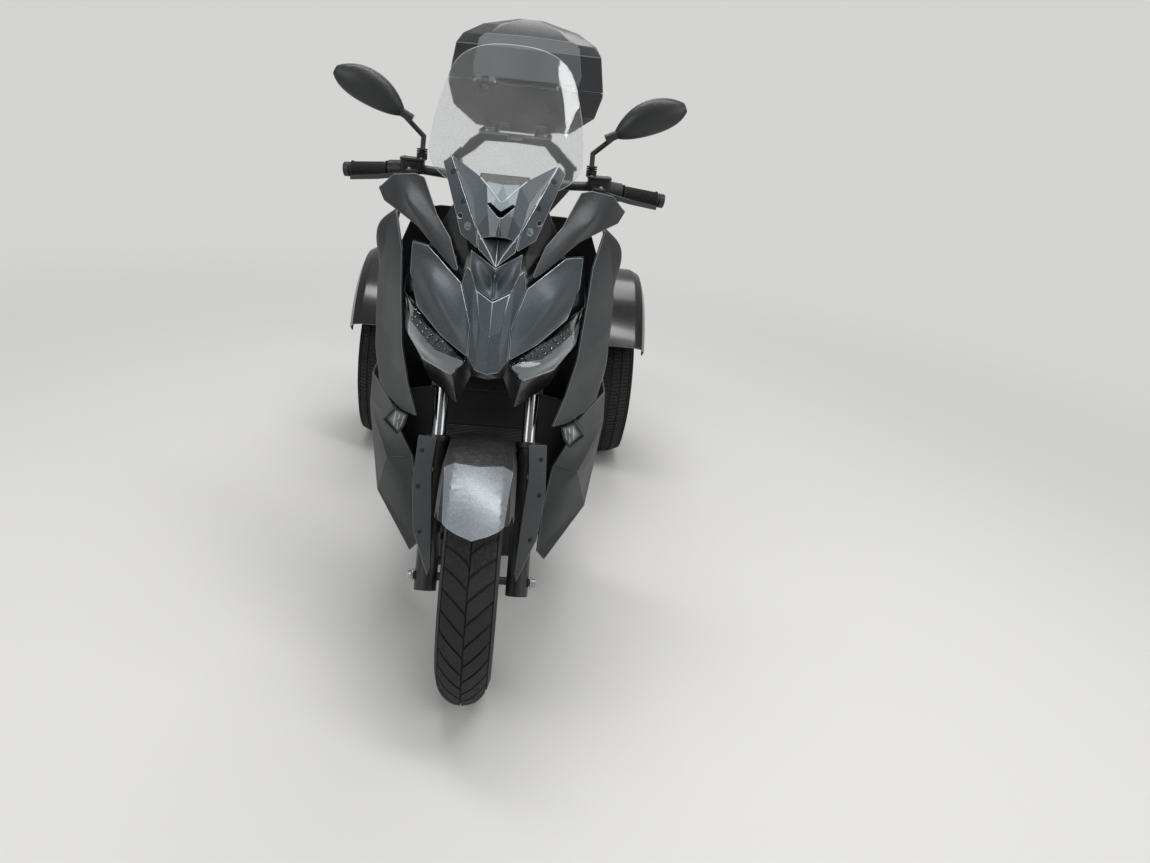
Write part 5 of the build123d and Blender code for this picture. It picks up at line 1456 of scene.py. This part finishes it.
refaced("rear_axle", 1.2, "black_steel", enamel, caliper_grey, crease=40, paint={1: on_rear_calipers})
cover_bolts = []
for angle in around(8):
    cover_bolts.append((at(38 * math.cos(angle), 1638.4, 286 + 38 * math.sin(angle)), Vector((0, 1, 0))))
fasten("differential_bolts", "body", cover_bolts, 4.5, 3.5, bright_steel)
spring_tree, given = new_tree("wound_spring", Turns=9.0, Coil=0.025, Wire=0.005, Height=0.2)
coil = add(
    spring_tree, "GeometryNodeCurveSpiral",
    {
        "Resolution": 28, "Rotations": given["Turns"], "Start Radius": given["Coil"],
        "End Radius": given["Coil"], "Height": given["Height"],
    },
)
wire = add(spring_tree, "GeometryNodeCurvePrimitiveCircle", {"Resolution": 10, "Radius": given["Wire"]})
wound = add(
    spring_tree, "GeometryNodeCurveToMesh",
    {"Curve": coil.outputs[0], "Profile Curve": wire.outputs[0], "Fill Caps": True},
)
spring_steel = surface(
    "grey_enamelled_spring_steel", "#5e6265", 0.4, metal=0.4, grain_mm=6, relief_mm=0.08,
)
end_tree(spring_tree, wound.outputs[0], spring_steel)
low, high = at(235, 1548, 361), at(142, 1462, 684)
for side_name, side in SIDES:
    foot, top = Vector((side * low.x, low.y, low.z)), Vector((side * high.x, high.y, high.z))
    lean = (top - foot).normalized()
    length = (top - foot).length * 1000
    body_profile = [
        (0.1, -14), (13, -14), (15, -8), (15, 18), (10, 24), (10, 56), (29, 56), (29, 62), (19, 62),
        (19, length * 0.55), (8, length * 0.56), (8, length - 52), (29, length - 52), (29, length - 46),
        (12, length - 40), (12, length - 20), (15, length - 14), (15, length + 8), (0.1, length + 10),
    ]
    stand = ["shocks"] if side > 0 else []
    boss("damper_" + side_name, body_profile, foot, lean, enamel, "body", 36)
    turn = Vector((0, 0, 1)).rotation_difference(lean).to_matrix().to_4x4()
    spring_length = (length - 52 - 62) / 1000
    spring = grown(
        "spring_" + side_name, spring_tree, bpy.data.meshes.new("spring_start"), Height=spring_length,
        Turns=9.0,
    )
    spring.transform(Matrix.Translation(foot + lean * 0.062) @ turn)
    spring.shade_smooth()
    fit("spring_" + side_name, spring, "body", stand)

# Engine and belt case are die-cast aluminium with cooling ribs and screwed covers; the muffler is a steel
# can in heat-proof black paint with a slotted bright shield, and the radiator a stack of thin fins between
# two tanks.
cast_alloy = surface(
    "die_cast_aluminium", "#74777a", 0.48, metal=0.85, grain_mm=2.2, relief_mm=0.14, mottled=0.18,
    dust=0.3,
)
refaced("engine_block", 2.0, "alloy", cast_alloy)
case_paint = surface(
    "graphite_belt_case_enamel", "#3a3c3e", 0.45, metal=0.5, grain_mm=1.8, relief_mm=0.1, dust=0.25,
)
refaced("belt_case", 1.6, "alloy", case_paint)
fin_tree, given = new_tree("cooling_fins", Length=0.2, Height=0.12, Thickness=0.0024)
fin = add(
    fin_tree, "GeometryNodeMeshCube",
    {"Size": triple(fin_tree, given["Thickness"], given["Length"], given["Height"])},
)
fins = add(
    fin_tree, "GeometryNodeInstanceOnPoints", {"Points": given["Geometry"], "Instance": fin.outputs[0]},
)
end_tree(fin_tree, fins.outputs[0], cast_alloy)
fin_spots = [(at(-88 + 11 * k, 1165, 218), Vector((0, 0, 1))) for k in range(17)]
sown("sump_fins", fin_tree, fin_spots, "body", "alloy", Length=0.26, Height=0.02)
case_screws = []
for y, z in (
    (-620, 306), (-570, 252), (-470, 250), (-360, 250), (-250, 250), (-130, 300), (-130, 356),
    (-240, 418), (-360, 416), (-480, 414), (-590, 406), (-626, 360),
):
    case_screws.append((at(164.2, 1540 + y, z), Vector((1, 0, 0))))
fasten("belt_case_screws", "body", case_screws, 5, 4, bright_steel)
can_paint = surface(
    "heatproof_black_paint", "#202123", 0.6, metal=0.2, grain_mm=1.4, relief_mm=0.1, mottled=0.2,
    dust=0.3,
)
refaced("muffler", 1.0, "steel", can_paint, crease=45, sharp=30)
shield_shape = bmesh.new()
grid = []
for i in range(25):
    x = -120 + 10 * i
    grid.append([
        shield_shape.verts.new(
            at(x, 1745 + 64.5 * math.cos(math.radians(a)), 380 + 64.5 * math.sin(math.radians(a)))
        )
        for a in range(-40, 61, 10)
    ])
for i in range(24):
    for k in range(10):
        if not (i % 3 == 1 and 2 <= k <= 7 and 1 < i < 23):
            shield_shape.faces.new((grid[i][k], grid[i + 1][k], grid[i + 1][k + 1], grid[i][k + 1]))
bmesh.ops.recalc_face_normals(shield_shape, faces=shield_shape.faces)
brushed = surface("brushed_stainless_shield", "#9b9d9f", 0.32, metal=1.0, mottled=0.12)
shield_mesh = walled(meshed(shield_shape, "heat_shield_sheet"), 1.2, 1, brushed)
shield_mesh.shade_smooth()
shield_mesh.set_sharp_from_angle(angle=math.radians(40))
fit("heat_shield", shield_mesh, "body")
refaced("radiator", 1.0, "alloy", case_black)
core_spots = [(at(0, 332.5, 366 + 4 * k), Vector((0, 0, 1))) for k in range(37)]
sown("radiator_fins", fin_tree, core_spots, "body", "alloy", Length=0.003, Height=0.0012, Thickness=0.198)
